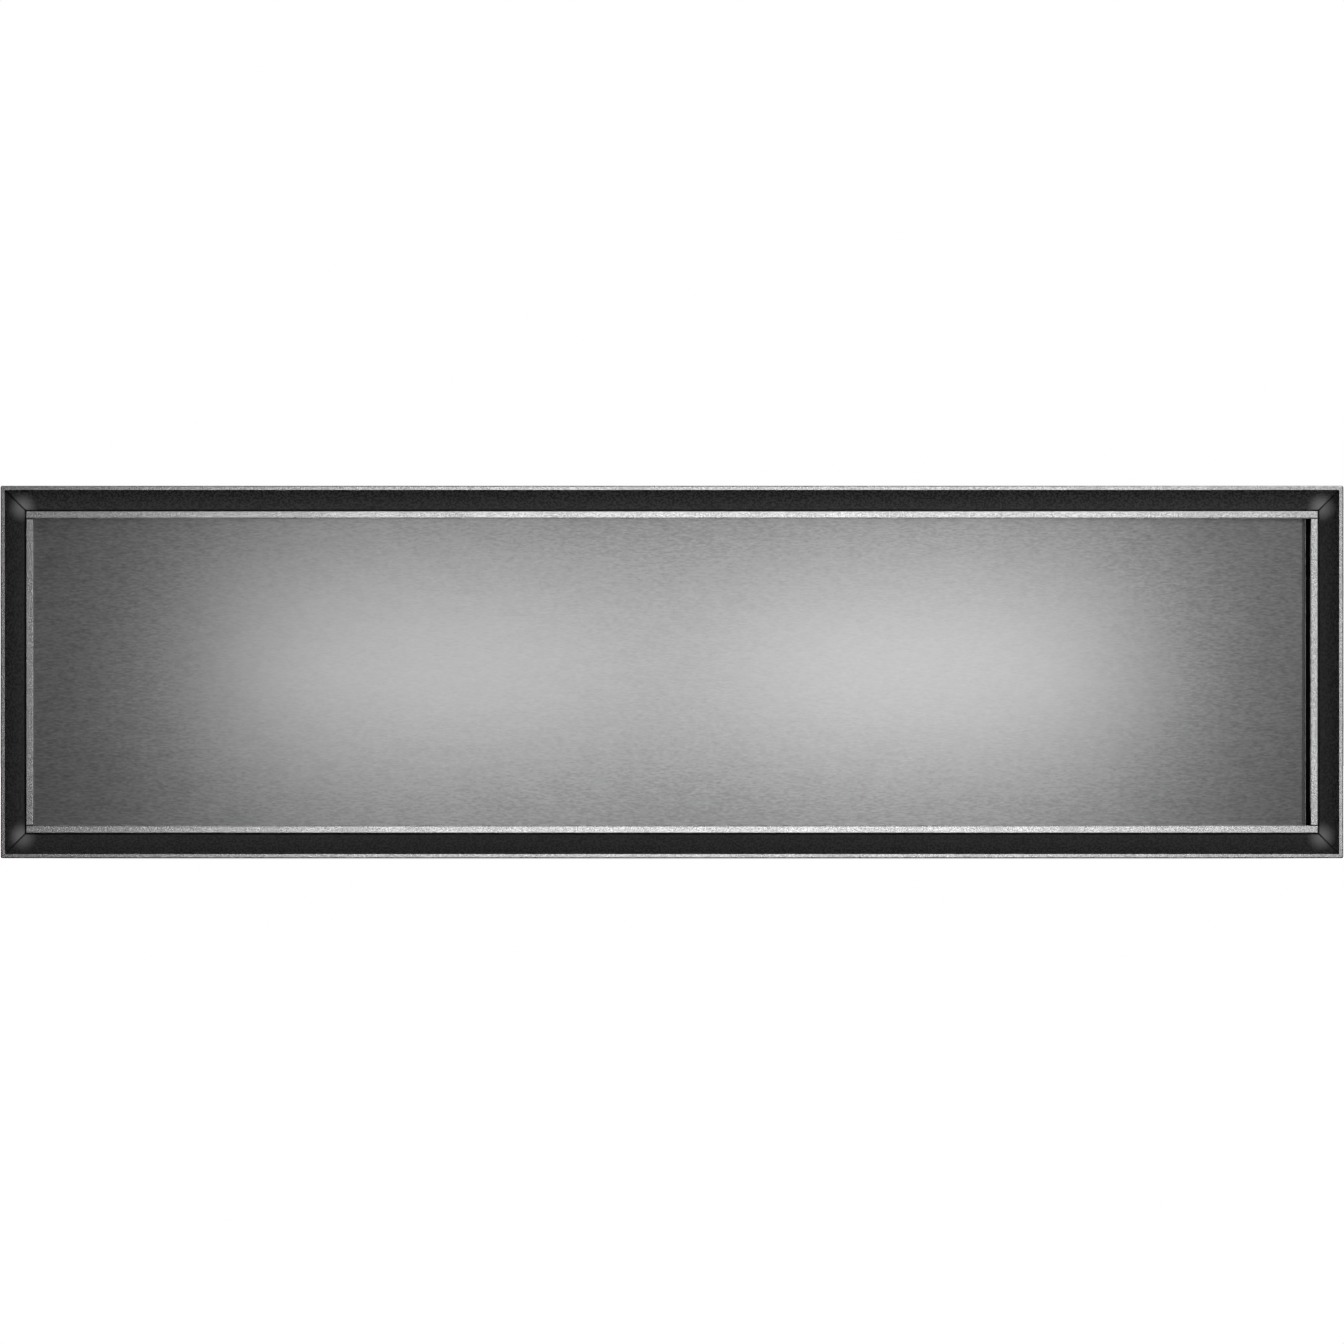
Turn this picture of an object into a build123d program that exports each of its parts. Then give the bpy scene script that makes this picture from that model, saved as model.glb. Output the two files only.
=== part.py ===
"""Built-in warming drawer: a picture-frame front, a sheet-metal housing and a heated drawer on runners.

Millimetres. +X is to the right of someone facing the front, +Y runs into the niche and +Z is up.
The origin is on the niche floor, at the middle of the furniture's front plane.
"""

import math
import os

from build123d import *

# Front frame: a steel band around a dark, sloping liner
FRAME_WIDTH = 598.0
FRAME_HEIGHT = 166.0
FRAME_DEPTH = 25.0  # how far the band stands out from the furniture
BAND_WALL = 1.9
BAND_CORNER = 0.9
BAND_EDGE = 0.5
CHANNEL_WIDTH = 8.8  # the dark slope, seen from the front
CHANNEL_STEP = 0.8  # the slope starts this far behind the band's edge
LINER_WALL = 1.6
MITRE_GAP = 0.25
KEY_LEG = 24.0
KEY_DEPTH = 9.0
KEY_CLEARANCE = 0.2

# Drawer front: four rim bars round a recessed brushed panel
REVEAL = 0.5  # gap between the liner and the rim
RIM_PROUD = 0.5  # the rim stands this far ahead of the slope's inner edge
RIM_WIDTH = 3.3
RIM_DEPTH = 9.0
RIM_EDGE = 0.35
RIM_JOINT = 0.15  # hairline where the upright bars butt between the long ones
RIM_LEDGE = 7.0  # the ledge behind the panel's edge
PANEL_RECESS = 4.0
PANEL_SHEET = 1.2
PANEL_GAP = 0.15
PANEL_RETURN = 2.4  # depth of the panel's folded right end
PANEL_BEND = 1.0
GROOVE_WIDTH = 2.4  # shadow groove between the folded end and the rim
STRIP_GAP = 0.15  # either side of the dark strip in the groove
STRIP_FLOOR = 0.6
STRIP_LIP = 0.4
STRIP_HEIGHT = 1.4
CARRIER_SHEET = 1.3
CARRIER_GAP = 1.2  # between the carrier board and the panel's fold
PUSH_TRAVEL = 3.0  # the front is pushed in this far to release it
STOP_CLEARANCE = 0.3
BUFFER_HEIGHT = 2.7
BUFFER_RADIUS = 4.0
BUFFER_EDGE = 0.8
BUFFER_INSET = 5.0
BUFFER_END = 19.0  # from the housing's top and bottom to a buffer

# Housing
HOUSING_DEPTH = 520.0
SIDE_OVERLAP = 22.0  # how far the frame reaches past the housing's sides
EDGE_OVERLAP = 14.0  # and past its top and bottom
SHEET = 1.0
SHEET_BEND = 1.5
FLANGE = 12.0  # inward flanges of the side walls
BEAD_END = 107.0  # from the housing's sides to the beads
BEAD_MARGIN = 95.0  # from its front and rear
BEAD_WIDTH = 16.0
BEAD_HEIGHT = 1.2
BEAD_COUNT = 4
FIXING_OUT = 8.0  # from a side wall out to the fixing holes
FIXING_END = 29.0  # from the housing's top and bottom to them
FIXING_RADIUS = 2.25
VENT_LENGTH = 30.0
VENT_WIDTH = 3.5
VENT_PITCH = 9.0
VENT_ROWS = 5
VENT_COLUMNS = 3
VENT_COLUMN_PITCH = 40.0
VENT_DROP = 36.0  # from the housing's top to the middle row of vents
SCREW_RADIUS = 1.9
SCREW_HOLE_RADIUS = 2.1
SCREW_LENGTH = 8.0
SCREW_HEAD_RADIUS = 3.8
SCREW_HEAD_HEIGHT = 2.4
TOP_SCREWS = 4
TOP_SCREW_END = 65.0
REAR_SCREWS = 3
REAR_SCREW_END = 25.0

# Telescopic runners: three nested channels with two ball cages a side
RUNNER_START = 4.0
RUNNER_END_GAP = 6.0  # the runners stop this short of the tray's rear
RUNNER_HEIGHT = 45.6
RUNNER_WIDTH = 12.7
RUNNER_SHEET = 1.4
RUNNER_BEND = 1.5
RUNNER_TIP_GAP = 1.2  # the outer two channels' flanges stop this short of the drawer
MIDDLE_SHORTER = 10.0
BALL_RADIUS = 2.0
BALL_CLEARANCE = 0.3
BALL_INSET = 4.7  # from the drawer's side to the middle of the balls
GROOVE_DEPTH = 0.45
BALLS_PER_ROW = 4
BALL_END = 15.0  # from a cage's end to its last ball
BALL_HOLE_GAP = 0.15
CAGE_SHEET = 0.8
CAGE_GAP = 0.4
CAGE_TIP_GAP = 1.7
CAGE_SHORTER = 35.0  # a cage is this much shorter than half the runner
RUNNER_HOLE = 2.4
RUNNER_HOLES = 3
RUNNER_HOLE_END = 87.0
RIVET_GAP = 0.15
RIVET_HEAD_RADIUS = 4.2
RIVET_HEAD_HEIGHT = 1.2
RIVET_HEAD_EDGE = 0.8

# Drawer tray and what lies in it
TRAY_REAR_ROOM = 80.0  # behind the tray, for the fan and the latch
TRAY_HEADROOM = 20.0  # between the tray and the housing's top
TRAY_FLOOR = 8.0  # underside of the tray above the niche floor
TRAY_WALL = 1.0
TRAY_CORNER = 10.0
TRAY_BOTTOM_BEND = 5.0
HEM = 5.0
BAY_MARGIN = 5.0  # between the heated bay's fittings and the walls round it
GLASS_THICKNESS = 4.0
GLASS_CORNER = 6.0
GLASS_EDGE = 0.8
GLASS_GAP = 3.0  # round the glass plate
RAIL_WIDTH = 8.0
RAIL_INSET = 5.5  # from the tray's inner side to the rail
RAIL_HEIGHT = 21.0
RAIL_SHEET = 1.0
RAIL_BEND = 1.5
INSULATION_THICKNESS = 8.0
INSULATION_GAP = 3.0
HEATER_RADIUS = 3.0
HEATER_SEAT = 1.5  # the clips hold the tube this far above the board
HEATER_PASSES = 6
HEATER_MARGIN = 36.0  # from the board's edges to the heater's runs
HEATER_BEND_SHARE = 0.4  # bend radius as a share of the runs' spacing
HEATER_END_RADIUS = 4.2
HEATER_END_LENGTH = 14.0
CLIP_SHEET = 0.8
CLIP_GAP = 0.2
CLIP_FOOT = 6.0
CLIP_WIDTH = 10.0
CLIP_SHARE = 0.62  # distance between the clip rows as a share of the heater's width
LIMITER_RADIUS = 8.0
LIMITER_HEIGHT = 7.0
LIMITER_EDGE = 1.0
LIMITER_EAR_SPACING = 24.0
LIMITER_EAR_RADIUS = 3.5

# Control console across the front of the tray
CONSOLE_DEPTH = 62.0
CONSOLE_DROP = 6.0  # below the tray's top
CONSOLE_SHEET = 1.5
CONSOLE_BEND = 2.5
CONSOLE_FOOT = 6.0  # the apron stops this far above the tray floor
CONSOLE_GAP = 0.2
KNOB_INSET = 47.0  # from the tray's inner side
KNOB_RADIUS = 15.0
KNOB_HEIGHT = 13.0
KNOB_LIFT = 0.5
KNOB_FLUTES = 24
KNOB_FLUTE_RADIUS = 1.1
KNOB_EDGE = 1.0
KNOB_SKIRT = 2.0
POINTER_LENGTH = 9.0
POINTER_WIDTH = 1.4
POINTER_DEPTH = 0.6
SPINDLE_RADIUS = 3.0
SPINDLE_CLEARANCE = 0.08
SPINDLE_SEAT = 9.0  # how far the spindle reaches into the knob
SPINDLE_DEPTH = 15.0  # and below the console
SPINDLE_END_GAP = 0.4
THERMOSTAT_SIZE = (42.0, 36.0, 24.0)
THERMOSTAT_EDGE = 2.0
TAB_SIZE = (0.8, 6.3, 8.0)
TAB_PITCH = 12.0
BUSH_RADIUS = 5.0
BUTTON_FROM_KNOB = 55.0
BUTTON_RADIUS = 7.0
BUTTON_RISE = 4.0
BUTTON_TRAVEL = 2.5
BUTTON_CLEARANCE = 0.3
BUTTON_FLANGE = 1.6
BUTTON_EDGE = 0.8
BUTTON_FLANGE_THICKNESS = 1.4
SWITCH_SIZE = 24.0
SWITCH_HEIGHT = 18.0
SWITCH_SPRING = 3.8  # room for the spring under the pressed button
SWITCH_GAP = 0.5
LENS_FROM_KNOB = 29.0
LENS_RADIUS = 2.5
LENS_COLLAR = 4.0
LENS_RISE = 1.0
LENS_DEPTH = 8.0
LENS_EDGE = 0.7

# Circulation fan behind the tray's rear wall
FAN_BOX_SHARE = 0.34  # width as a share of the tray's
FAN_BOX_MARGIN = 7.0  # below the tray's top and above the glass rails
FAN_BOX_DEPTH = 26.0
FAN_BOX_CORNER = 12.0
FAN_BOX_EDGE = 3.0
FAN_SHEET = 1.0
FAN_LIP = 6.0
INTAKE_GAP = 1.0  # the intake is this much larger than the impeller
OUTLET_WIDTH = 26.0
OUTLET_MARGIN = 12.0
OUTLET_CORNER = 3.0
OUTLET_SHARE = 0.37  # distance from the middle as a share of the fan box's width
GRILLE_SHEET = 1.0
GRILLE_MARGIN = 6.0
GRILLE_SLOT = 3.4
GRILLE_PITCH = 7.0
GRILLE_SLOT_LENGTH = 22.0
GRILLE_CORNER = 8.0
INTAKE_RING_SHARES = (0.3, 0.57, 0.84)  # radii as shares of the intake's
INTAKE_ARCS = 4
INTAKE_BRIDGE = 9.0  # half the bridge between two arcs, in degrees
IMPELLER_MARGIN = 8.0  # between the impeller and the fan box
IMPELLER_HUB = 7.0
IMPELLER_EYE_SHARE = 0.59
IMPELLER_RING_WIDTH = 9.0
IMPELLER_BLADES = 14
IMPELLER_DEPTH = 17.0
IMPELLER_PLATE = 1.2
IMPELLER_HUB_LENGTH = 12.0
IMPELLER_GAP = 3.0
BLADE_SHEET = 1.0
BLADE_SWEEP = 26.0  # degrees that a blade leans back between its ends
BLADE_BOW = 0.35  # share of that lean at its middle
SHAFT_RADIUS = 2.0
SHAFT_CLEARANCE = 0.06
SHAFT_HOLE_GAP = 1.0
SHAFT_OUT = 2.0
ROTOR_RADIUS = 11.0
ROTOR_GAP = 0.5
STATOR_WIDTH = 54.0
STATOR_HEIGHT = 44.0
STATOR_DEPTH = 16.0
STATOR_ABOVE = 16.0  # from the shaft up to the stack's top
STATOR_LEG = 6.0
STATOR_WINDOW = (26.0, 9.0)
COIL_WIDTH = 24.0
COIL_WRAP = 4.0
COIL_GAP = 0.3
COIL_CORNER = 3.0
BRIDGE_WIDTH = 12.0
BRIDGE_SHEET = 2.0
BRIDGE_DEPTH = 9.0
BEARING_RADIUS = 5.0
BEARING_LENGTH = 3.0

# Push latch at the rear of the housing
LATCH_SHARE = 0.285  # distance from the middle as a share of the tray's width
LATCH_Z = 26.0
LATCH_PIN_RADIUS = 2.5
LATCH_PIN_OUT = 17.0  # from the tray's rear wall to the striker pin
STRIKER_EAR = 2.0
STRIKER_GAP = 12.0
STRIKER_HEIGHT = 14.0
HOOK_THICKNESS = 5.0
HOOK_REACH = 34.0
HOOK_RELEASED = 12.0  # degrees that the hook stands up when it lets the pin go
HOOK_CLEARANCE = 0.5
HOOK_ARM = 6.0
CLAW_LENGTH = 4.0
CLAW_DROP = 5.0
PIVOT_RADIUS = 2.5
PIVOT_CLEARANCE = 0.08
PIVOT_BOSS = 5.5
LATCH_PLATE = 2.0
LATCH_CHEEK = 9.0
LATCH_BASE_WIDTH = 30.0
LATCH_BASE_HEIGHT = 24.0
LATCH_BASE_CORNER = 3.0

# Mains connection
GLAND_SHARE = 0.41  # distance from the middle as a share of the tray's width
GLAND_Z = 30.0
GLAND_BORE = 4.0
GLAND_BODY = 7.5
GLAND_FLANGE = 11.0
GLAND_FLANGE_THICKNESS = 3.0
GLAND_OUT = 12.0
GLAND_IN = 8.0
GLAND_HOLE_GAP = 0.15
GLAND_EDGE = 1.0
TERMINAL_SIZE = (70.0, 38.0, 44.0)
TERMINAL_WALL = 2.0
TERMINAL_CORNER = 3.0

# Heights and planes worked out from the values above
HOUSING_WIDTH = FRAME_WIDTH - 2 * SIDE_OVERLAP
HOUSING_HEIGHT = FRAME_HEIGHT - 2 * EDGE_OVERLAP
MID_Z = HOUSING_HEIGHT / 2
BAND_FRONT = -FRAME_DEPTH
CHANNEL_INNER = BAND_WALL + CHANNEL_WIDTH
RIM_INSET = CHANNEL_INNER + REVEAL
FLANGE_FRONT = -SHEET
RIM_BACK = FLANGE_FRONT - PUSH_TRAVEL - STOP_CLEARANCE - BUFFER_HEIGHT
RIM_FRONT = RIM_BACK - RIM_DEPTH
CHANNEL_BACK = RIM_FRONT + RIM_PROUD
PANEL_FRONT = RIM_FRONT + PANEL_RECESS
CARRIER_FRONT = PANEL_FRONT + PANEL_SHEET
TRAY_FRONT = CARRIER_FRONT + CARRIER_SHEET
FRONT_WIDTH = FRAME_WIDTH - 2 * RIM_INSET
FRONT_HEIGHT = FRAME_HEIGHT - 2 * RIM_INSET
PANEL_WIDTH = FRONT_WIDTH - 2 * RIM_WIDTH
PANEL_HEIGHT = FRONT_HEIGHT - 2 * RIM_WIDTH
REAR_FACE = HOUSING_DEPTH - SHEET  # inner face of the rear panel
WALL_FACE = HOUSING_WIDTH / 2 - SHEET  # inner face of a side wall
FIXING_X = WALL_FACE + FIXING_OUT
FIXING_RISE = HOUSING_HEIGHT / 2 - FIXING_END
TRAY_SIDE = WALL_FACE - RUNNER_WIDTH
TRAY_WIDTH = 2 * TRAY_SIDE
TRAY_REAR = HOUSING_DEPTH - TRAY_REAR_ROOM
TRAY_DEPTH = TRAY_REAR - TRAY_FRONT
TRAY_TOP = HOUSING_HEIGHT - TRAY_HEADROOM
TRAY_HEIGHT = TRAY_TOP - TRAY_FLOOR
FLOOR_TOP = TRAY_FLOOR + TRAY_WALL
INNER_SIDE = TRAY_SIDE - TRAY_WALL
INNER_FRONT = TRAY_FRONT + TRAY_WALL
INNER_REAR = TRAY_REAR - TRAY_WALL
CONSOLE_TOP = TRAY_TOP - CONSOLE_DROP
CONSOLE_BACK = INNER_FRONT + CONSOLE_DEPTH
CONSOLE_UNDER = CONSOLE_TOP - CONSOLE_SHEET
CONTROL_Y = (INNER_FRONT + CONSOLE_BACK) / 2
KNOB_X = INNER_SIDE - KNOB_INSET
BUTTON_X = KNOB_X - BUTTON_FROM_KNOB
LENS_X = KNOB_X - LENS_FROM_KNOB
GLASS_UNDER = FLOOR_TOP + RAIL_HEIGHT
FAN_Z = (TRAY_TOP + GLASS_UNDER) / 2
FAN_BOX_WIDTH = FAN_BOX_SHARE * TRAY_WIDTH
FAN_BOX_HEIGHT = TRAY_TOP - GLASS_UNDER - 2 * FAN_BOX_MARGIN
OUTLET_X = OUTLET_SHARE * FAN_BOX_WIDTH
OUTLET_HEIGHT = FAN_BOX_HEIGHT - 2 * OUTLET_MARGIN
IMPELLER_RADIUS = FAN_BOX_HEIGHT / 2 - IMPELLER_MARGIN
IMPELLER_EYE = IMPELLER_EYE_SHARE * IMPELLER_RADIUS
INTAKE_RADIUS = IMPELLER_RADIUS + INTAKE_GAP
LATCH_X = -LATCH_SHARE * TRAY_WIDTH
GLAND_X = -GLAND_SHARE * TRAY_WIDTH
RUNNER_LENGTH = TRAY_REAR - RUNNER_END_GAP - RUNNER_START
RUNNER_END = RUNNER_START + RUNNER_LENGTH
CAGE_LENGTH = RUNNER_LENGTH / 2 - CAGE_SHORTER
CAGE_START = RUNNER_START + (RUNNER_LENGTH - MIDDLE_SHORTER - CAGE_LENGTH) / 2
ROW_GAP = 2 * (BALL_RADIUS + BALL_CLEARANCE - GROOVE_DEPTH)  # between two facing runner flanges
OUTER_FACE = RUNNER_HEIGHT / 2 - RUNNER_SHEET
MIDDLE_TOP = OUTER_FACE - ROW_GAP
INNER_TOP = MIDDLE_TOP - RUNNER_SHEET - ROW_GAP
OUTER_ROW = OUTER_FACE - ROW_GAP / 2
INNER_ROW = INNER_TOP + ROW_GAP / 2
MIDDLE_WEB = RUNNER_SHEET + CAGE_SHEET + 2 * CAGE_GAP  # from the side wall to the middle channel
INNER_TIP = MIDDLE_WEB + RUNNER_SHEET + CAGE_SHEET + 2 * CAGE_GAP


def front(y):
    """A sketch plane that faces the viewer at depth y: local x is +X, local y is +Z."""
    return Plane(origin=(0, y, 0), x_dir=(1, 0, 0), z_dir=(0, -1, 0))


def write(part, name):
    """Labels a finished piece and writes it to its own file."""
    part.label = name
    export_step(part, f"parts/{name}.step")


os.makedirs("parts", exist_ok=True)

# Front frame

with BuildPart() as frame_band:
    with BuildSketch(front(0)):
        with Locations((0, MID_Z)):
            RectangleRounded(FRAME_WIDTH, FRAME_HEIGHT, BAND_CORNER)
            Rectangle(FRAME_WIDTH - 2 * BAND_WALL, FRAME_HEIGHT - 2 * BAND_WALL, mode=Mode.SUBTRACT)
    extrude(amount=FRAME_DEPTH)
    fillet(frame_band.faces().sort_by(Axis.Y)[0].outer_wire().edges(), BAND_EDGE)
write(frame_band.part, "frame_band")

# Each liner bar: the middle of its outer edge, the way it runs, the way it faces inwards and its length
LINER_BARS = {
    "top": ((0, 0, MID_Z + FRAME_HEIGHT / 2), (-1, 0, 0), (0, 0, -1), FRAME_WIDTH),
    "bottom": ((0, 0, MID_Z - FRAME_HEIGHT / 2), (1, 0, 0), (0, 0, 1), FRAME_WIDTH),
    "left": ((-FRAME_WIDTH / 2, 0, MID_Z), (0, 0, -1), (1, 0, 0), FRAME_HEIGHT),
    "right": ((FRAME_WIDTH / 2, 0, MID_Z), (0, 0, 1), (-1, 0, 0), FRAME_HEIGHT),
}
for side, (edge, along, inwards, length) in LINER_BARS.items():
    section_plane = Plane(origin=edge, x_dir=(0, 1, 0), z_dir=along)
    mitre_plane = Plane(origin=edge, x_dir=along, z_dir=Vector(*along).cross(Vector(*inwards)))
    reach = CHANNEL_INNER + LINER_WALL
    trim = MITRE_GAP / math.sqrt(2)
    with BuildPart() as liner:
        with BuildSketch(section_plane):
            with BuildLine():
                Polyline(
                    (BAND_FRONT + CHANNEL_STEP, BAND_WALL),
                    (CHANNEL_BACK, CHANNEL_INNER),
                    (FLANGE_FRONT, CHANNEL_INNER),
                    (FLANGE_FRONT, BAND_WALL),
                    close=True,
                )
            make_face()
            offset(amount=-LINER_WALL, kind=Kind.INTERSECTION, mode=Mode.SUBTRACT)
        extrude(amount=length / 2, both=True)
        with BuildSketch(mitre_plane):
            Polygon(
                (trim - length / 2, 0),
                (length / 2 - trim, 0),
                (length / 2 - trim - reach, reach),
                (trim + reach - length / 2, reach),
                align=None,
            )
        extrude(amount=FRAME_DEPTH, both=True, mode=Mode.INTERSECT)
    write(liner.part, f"liner_{side}")

# L-shaped keys that join the hollow liner bars across each mitre
key_near = BAND_WALL + LINER_WALL + KEY_CLEARANCE
key_far = CHANNEL_INNER - LINER_WALL - KEY_CLEARANCE
key_end = key_near + KEY_LEG
with BuildPart() as corner_keys:
    for sx in (-1, 1):
        for sz in (-1, 1):
            corner_outline = [
                (key_near, key_near),
                (key_end, key_near),
                (key_end, key_far),
                (key_far, key_far),
                (key_far, key_end),
                (key_near, key_end),
            ]
            with BuildSketch(front(FLANGE_FRONT - LINER_WALL - KEY_CLEARANCE)):
                with BuildLine():
                    Polyline(
                        *[
                            (sx * (FRAME_WIDTH / 2 - a), MID_Z + sz * (FRAME_HEIGHT / 2 - b))
                            for a, b in corner_outline
                        ],
                        close=True,
                    )
                make_face()
            extrude(amount=KEY_DEPTH)
write(corner_keys.part, "frame_corner_keys")

# Housing


def spread(first, last, count):
    """Evenly spaced places from first to last."""
    return [first + (last - first) * i / (count - 1) for i in range(count)]


bead_length = HOUSING_WIDTH - 2 * BEAD_END
bead_places = [(0, y) for y in spread(BEAD_MARGIN, HOUSING_DEPTH - BEAD_MARGIN, BEAD_COUNT)]
top_screw_x = WALL_FACE - FLANGE / 2
top_screw_y = spread(TOP_SCREW_END, HOUSING_DEPTH - TOP_SCREW_END, TOP_SCREWS)
rear_screw_z = spread(REAR_SCREW_END, HOUSING_HEIGHT - REAR_SCREW_END, REAR_SCREWS)
hole_y = spread(RUNNER_START + RUNNER_HOLE_END, RUNNER_END - RUNNER_HOLE_END, RUNNER_HOLES)

# The front flanges reach out to the band all the way round: they bear on the furniture and carry the frame
flange_tip = FRAME_WIDTH / 2 - BAND_WALL
front_lip = EDGE_OVERLAP - BAND_WALL
lip_middle = (SHEET - front_lip) / 2


# The base and the cover are the same pan, one turned over: its outer face and the way to the inside
for name, outer_z, inside in (("base_plate", 0, 1), ("top_cover", HOUSING_HEIGHT, -1)):
    sheet_middle = outer_z + inside * SHEET / 2
    with BuildPart() as pan:
        with BuildSketch(Plane.YZ):
            with BuildLine():
                Polyline(
                    (-SHEET / 2, outer_z - inside * front_lip),
                    (-SHEET / 2, sheet_middle),
                    (REAR_FACE, sheet_middle),
                )
            trace(line_width=SHEET)
        extrude(amount=HOUSING_WIDTH / 2, both=True)
        fold = (0, -SHEET, outer_z + inside * SHEET)
        fillet(pan.edges().filter_by(Axis.X).sort_by_distance(fold)[0], SHEET_BEND / 2)
        with BuildSketch(front(0)):
            for sx in (-1, 1):
                with Locations((sx * (HOUSING_WIDTH / 2 + flange_tip) / 2, outer_z + inside * lip_middle)):
                    Rectangle(flange_tip - HOUSING_WIDTH / 2, front_lip + SHEET)
        extrude(amount=SHEET)
        with BuildSketch(Plane.XY.offset(outer_z + inside * SHEET)):
            with Locations(*bead_places):
                SlotOverall(bead_length, BEAD_WIDTH)
        extrude(amount=inside * BEAD_HEIGHT)
        with BuildSketch(Plane.XY.offset(outer_z)):
            with Locations(*bead_places):
                SlotOverall(bead_length - 2 * SHEET, BEAD_WIDTH - 2 * SHEET)
        extrude(amount=inside * BEAD_HEIGHT, mode=Mode.SUBTRACT)
        if name == "top_cover":
            with BuildSketch(Plane.XY.offset(outer_z)):
                with Locations(*[(sx * top_screw_x, y) for sx in (-1, 1) for y in top_screw_y]):
                    Circle(SCREW_HOLE_RADIUS)
            extrude(amount=-SHEET, mode=Mode.SUBTRACT)
    write(pan.part, name)

for side, sx in (("left", -1), ("right", 1)):
    wall_middle = sx * (WALL_FACE + SHEET / 2)
    flange_middle = sx * (WALL_FACE - FLANGE / 2)
    with BuildPart() as side_wall:
        with BuildSketch(Plane.XY.offset(SHEET)):
            with BuildLine():
                FilletPolyline(
                    (sx * flange_tip, -SHEET / 2),
                    (wall_middle, -SHEET / 2),
                    (wall_middle, REAR_FACE),
                    radius=SHEET_BEND,
                )
            trace(line_width=SHEET)
        extrude(amount=HOUSING_HEIGHT - 2 * SHEET)
        for flange_z in (SHEET, HOUSING_HEIGHT - 2 * SHEET):
            with BuildSketch(Plane.XY.offset(flange_z)):
                with Locations((flange_middle, (SHEET_BEND + REAR_FACE) / 2)):
                    Rectangle(FLANGE, REAR_FACE - SHEET_BEND)
            extrude(amount=SHEET)
        with BuildSketch(front(REAR_FACE)):
            with Locations((flange_middle, MID_Z)):
                Rectangle(FLANGE, HOUSING_HEIGHT - 2 * SHEET)
        extrude(amount=SHEET)
        with BuildSketch(Plane.XY.offset(HOUSING_HEIGHT)):
            with Locations(*[(flange_middle, y) for y in top_screw_y]):
                Circle(SCREW_HOLE_RADIUS)
        extrude(amount=-3 * SHEET, mode=Mode.SUBTRACT)
        with BuildSketch(front(REAR_FACE)):
            with Locations(*[(flange_middle, z) for z in rear_screw_z]):
                Circle(SCREW_HOLE_RADIUS)
        extrude(amount=SHEET, mode=Mode.SUBTRACT)
        with BuildSketch(front(0)):
            for sz in (-1, 1):
                with Locations((sx * FIXING_X, MID_Z + sz * FIXING_RISE)):
                    Circle(FIXING_RADIUS)
        extrude(amount=SHEET, mode=Mode.SUBTRACT)
        with BuildSketch(Plane.YZ.offset(sx * WALL_FACE)):
            with Locations(*[(y, MID_Z) for y in hole_y]):
                Circle(RUNNER_HOLE)
        extrude(amount=sx * SHEET, mode=Mode.SUBTRACT)
    write(side_wall.part, f"side_wall_{side}")

with BuildPart() as rear_panel:
    with BuildSketch(front(HOUSING_DEPTH)):
        with Locations((0, MID_Z)):
            Rectangle(HOUSING_WIDTH, HOUSING_HEIGHT)
        with Locations(*[(sx * top_screw_x, z) for sx in (-1, 1) for z in rear_screw_z]):
            Circle(SCREW_HOLE_RADIUS, mode=Mode.SUBTRACT)
        with Locations((GLAND_X, GLAND_Z)):
            Circle(GLAND_BODY + GLAND_HOLE_GAP, mode=Mode.SUBTRACT)
        with Locations((0, HOUSING_HEIGHT - VENT_DROP)):
            with GridLocations(VENT_COLUMN_PITCH, VENT_PITCH, VENT_COLUMNS, VENT_ROWS):
                SlotOverall(VENT_LENGTH, VENT_WIDTH, mode=Mode.SUBTRACT)
    extrude(amount=SHEET)
write(rear_panel.part, "rear_panel")


def pan_head_screw():
    """A screw standing on the sketch origin: head above, shank below."""
    Cylinder(SCREW_HEAD_RADIUS, SCREW_HEAD_HEIGHT, align=(Align.CENTER, Align.CENTER, Align.MIN))
    Cylinder(SCREW_RADIUS, SCREW_LENGTH, align=(Align.CENTER, Align.CENTER, Align.MAX))


screw_places = [
    Location((sx * top_screw_x, y, HOUSING_HEIGHT)) for sx in (-1, 1) for y in top_screw_y
] + [
    Location((sx * top_screw_x, HOUSING_DEPTH, z), (-90, 0, 0)) for sx in (-1, 1) for z in rear_screw_z
]
with BuildPart() as housing_screws:
    with Locations(*screw_places):
        pan_head_screw()
write(housing_screws.part, "housing_screws")

# Runners: every section is drawn as (distance from the side wall, height above the runner's middle)
outer_tip = RUNNER_WIDTH - RUNNER_TIP_GAP
cage_tip = RUNNER_WIDTH - CAGE_TIP_GAP
ball_line = RUNNER_WIDTH - BALL_INSET
half = RUNNER_SHEET / 2
middle_length = RUNNER_LENGTH - MIDDLE_SHORTER
ball_y = spread(CAGE_START + BALL_END, CAGE_START + CAGE_LENGTH - BALL_END, BALLS_PER_ROW)

# Each channel: its web's middle, its flange tips, its top, its length and the ball rows it carries
CHANNELS = {
    "outer": (half, outer_tip, RUNNER_HEIGHT / 2, RUNNER_LENGTH, (OUTER_ROW,)),
    "middle": (MIDDLE_WEB + half, outer_tip, MIDDLE_TOP, middle_length, (OUTER_ROW, INNER_ROW)),
    "inner": (RUNNER_WIDTH - half, INNER_TIP, INNER_TOP, RUNNER_LENGTH, (INNER_ROW,)),
}
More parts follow.
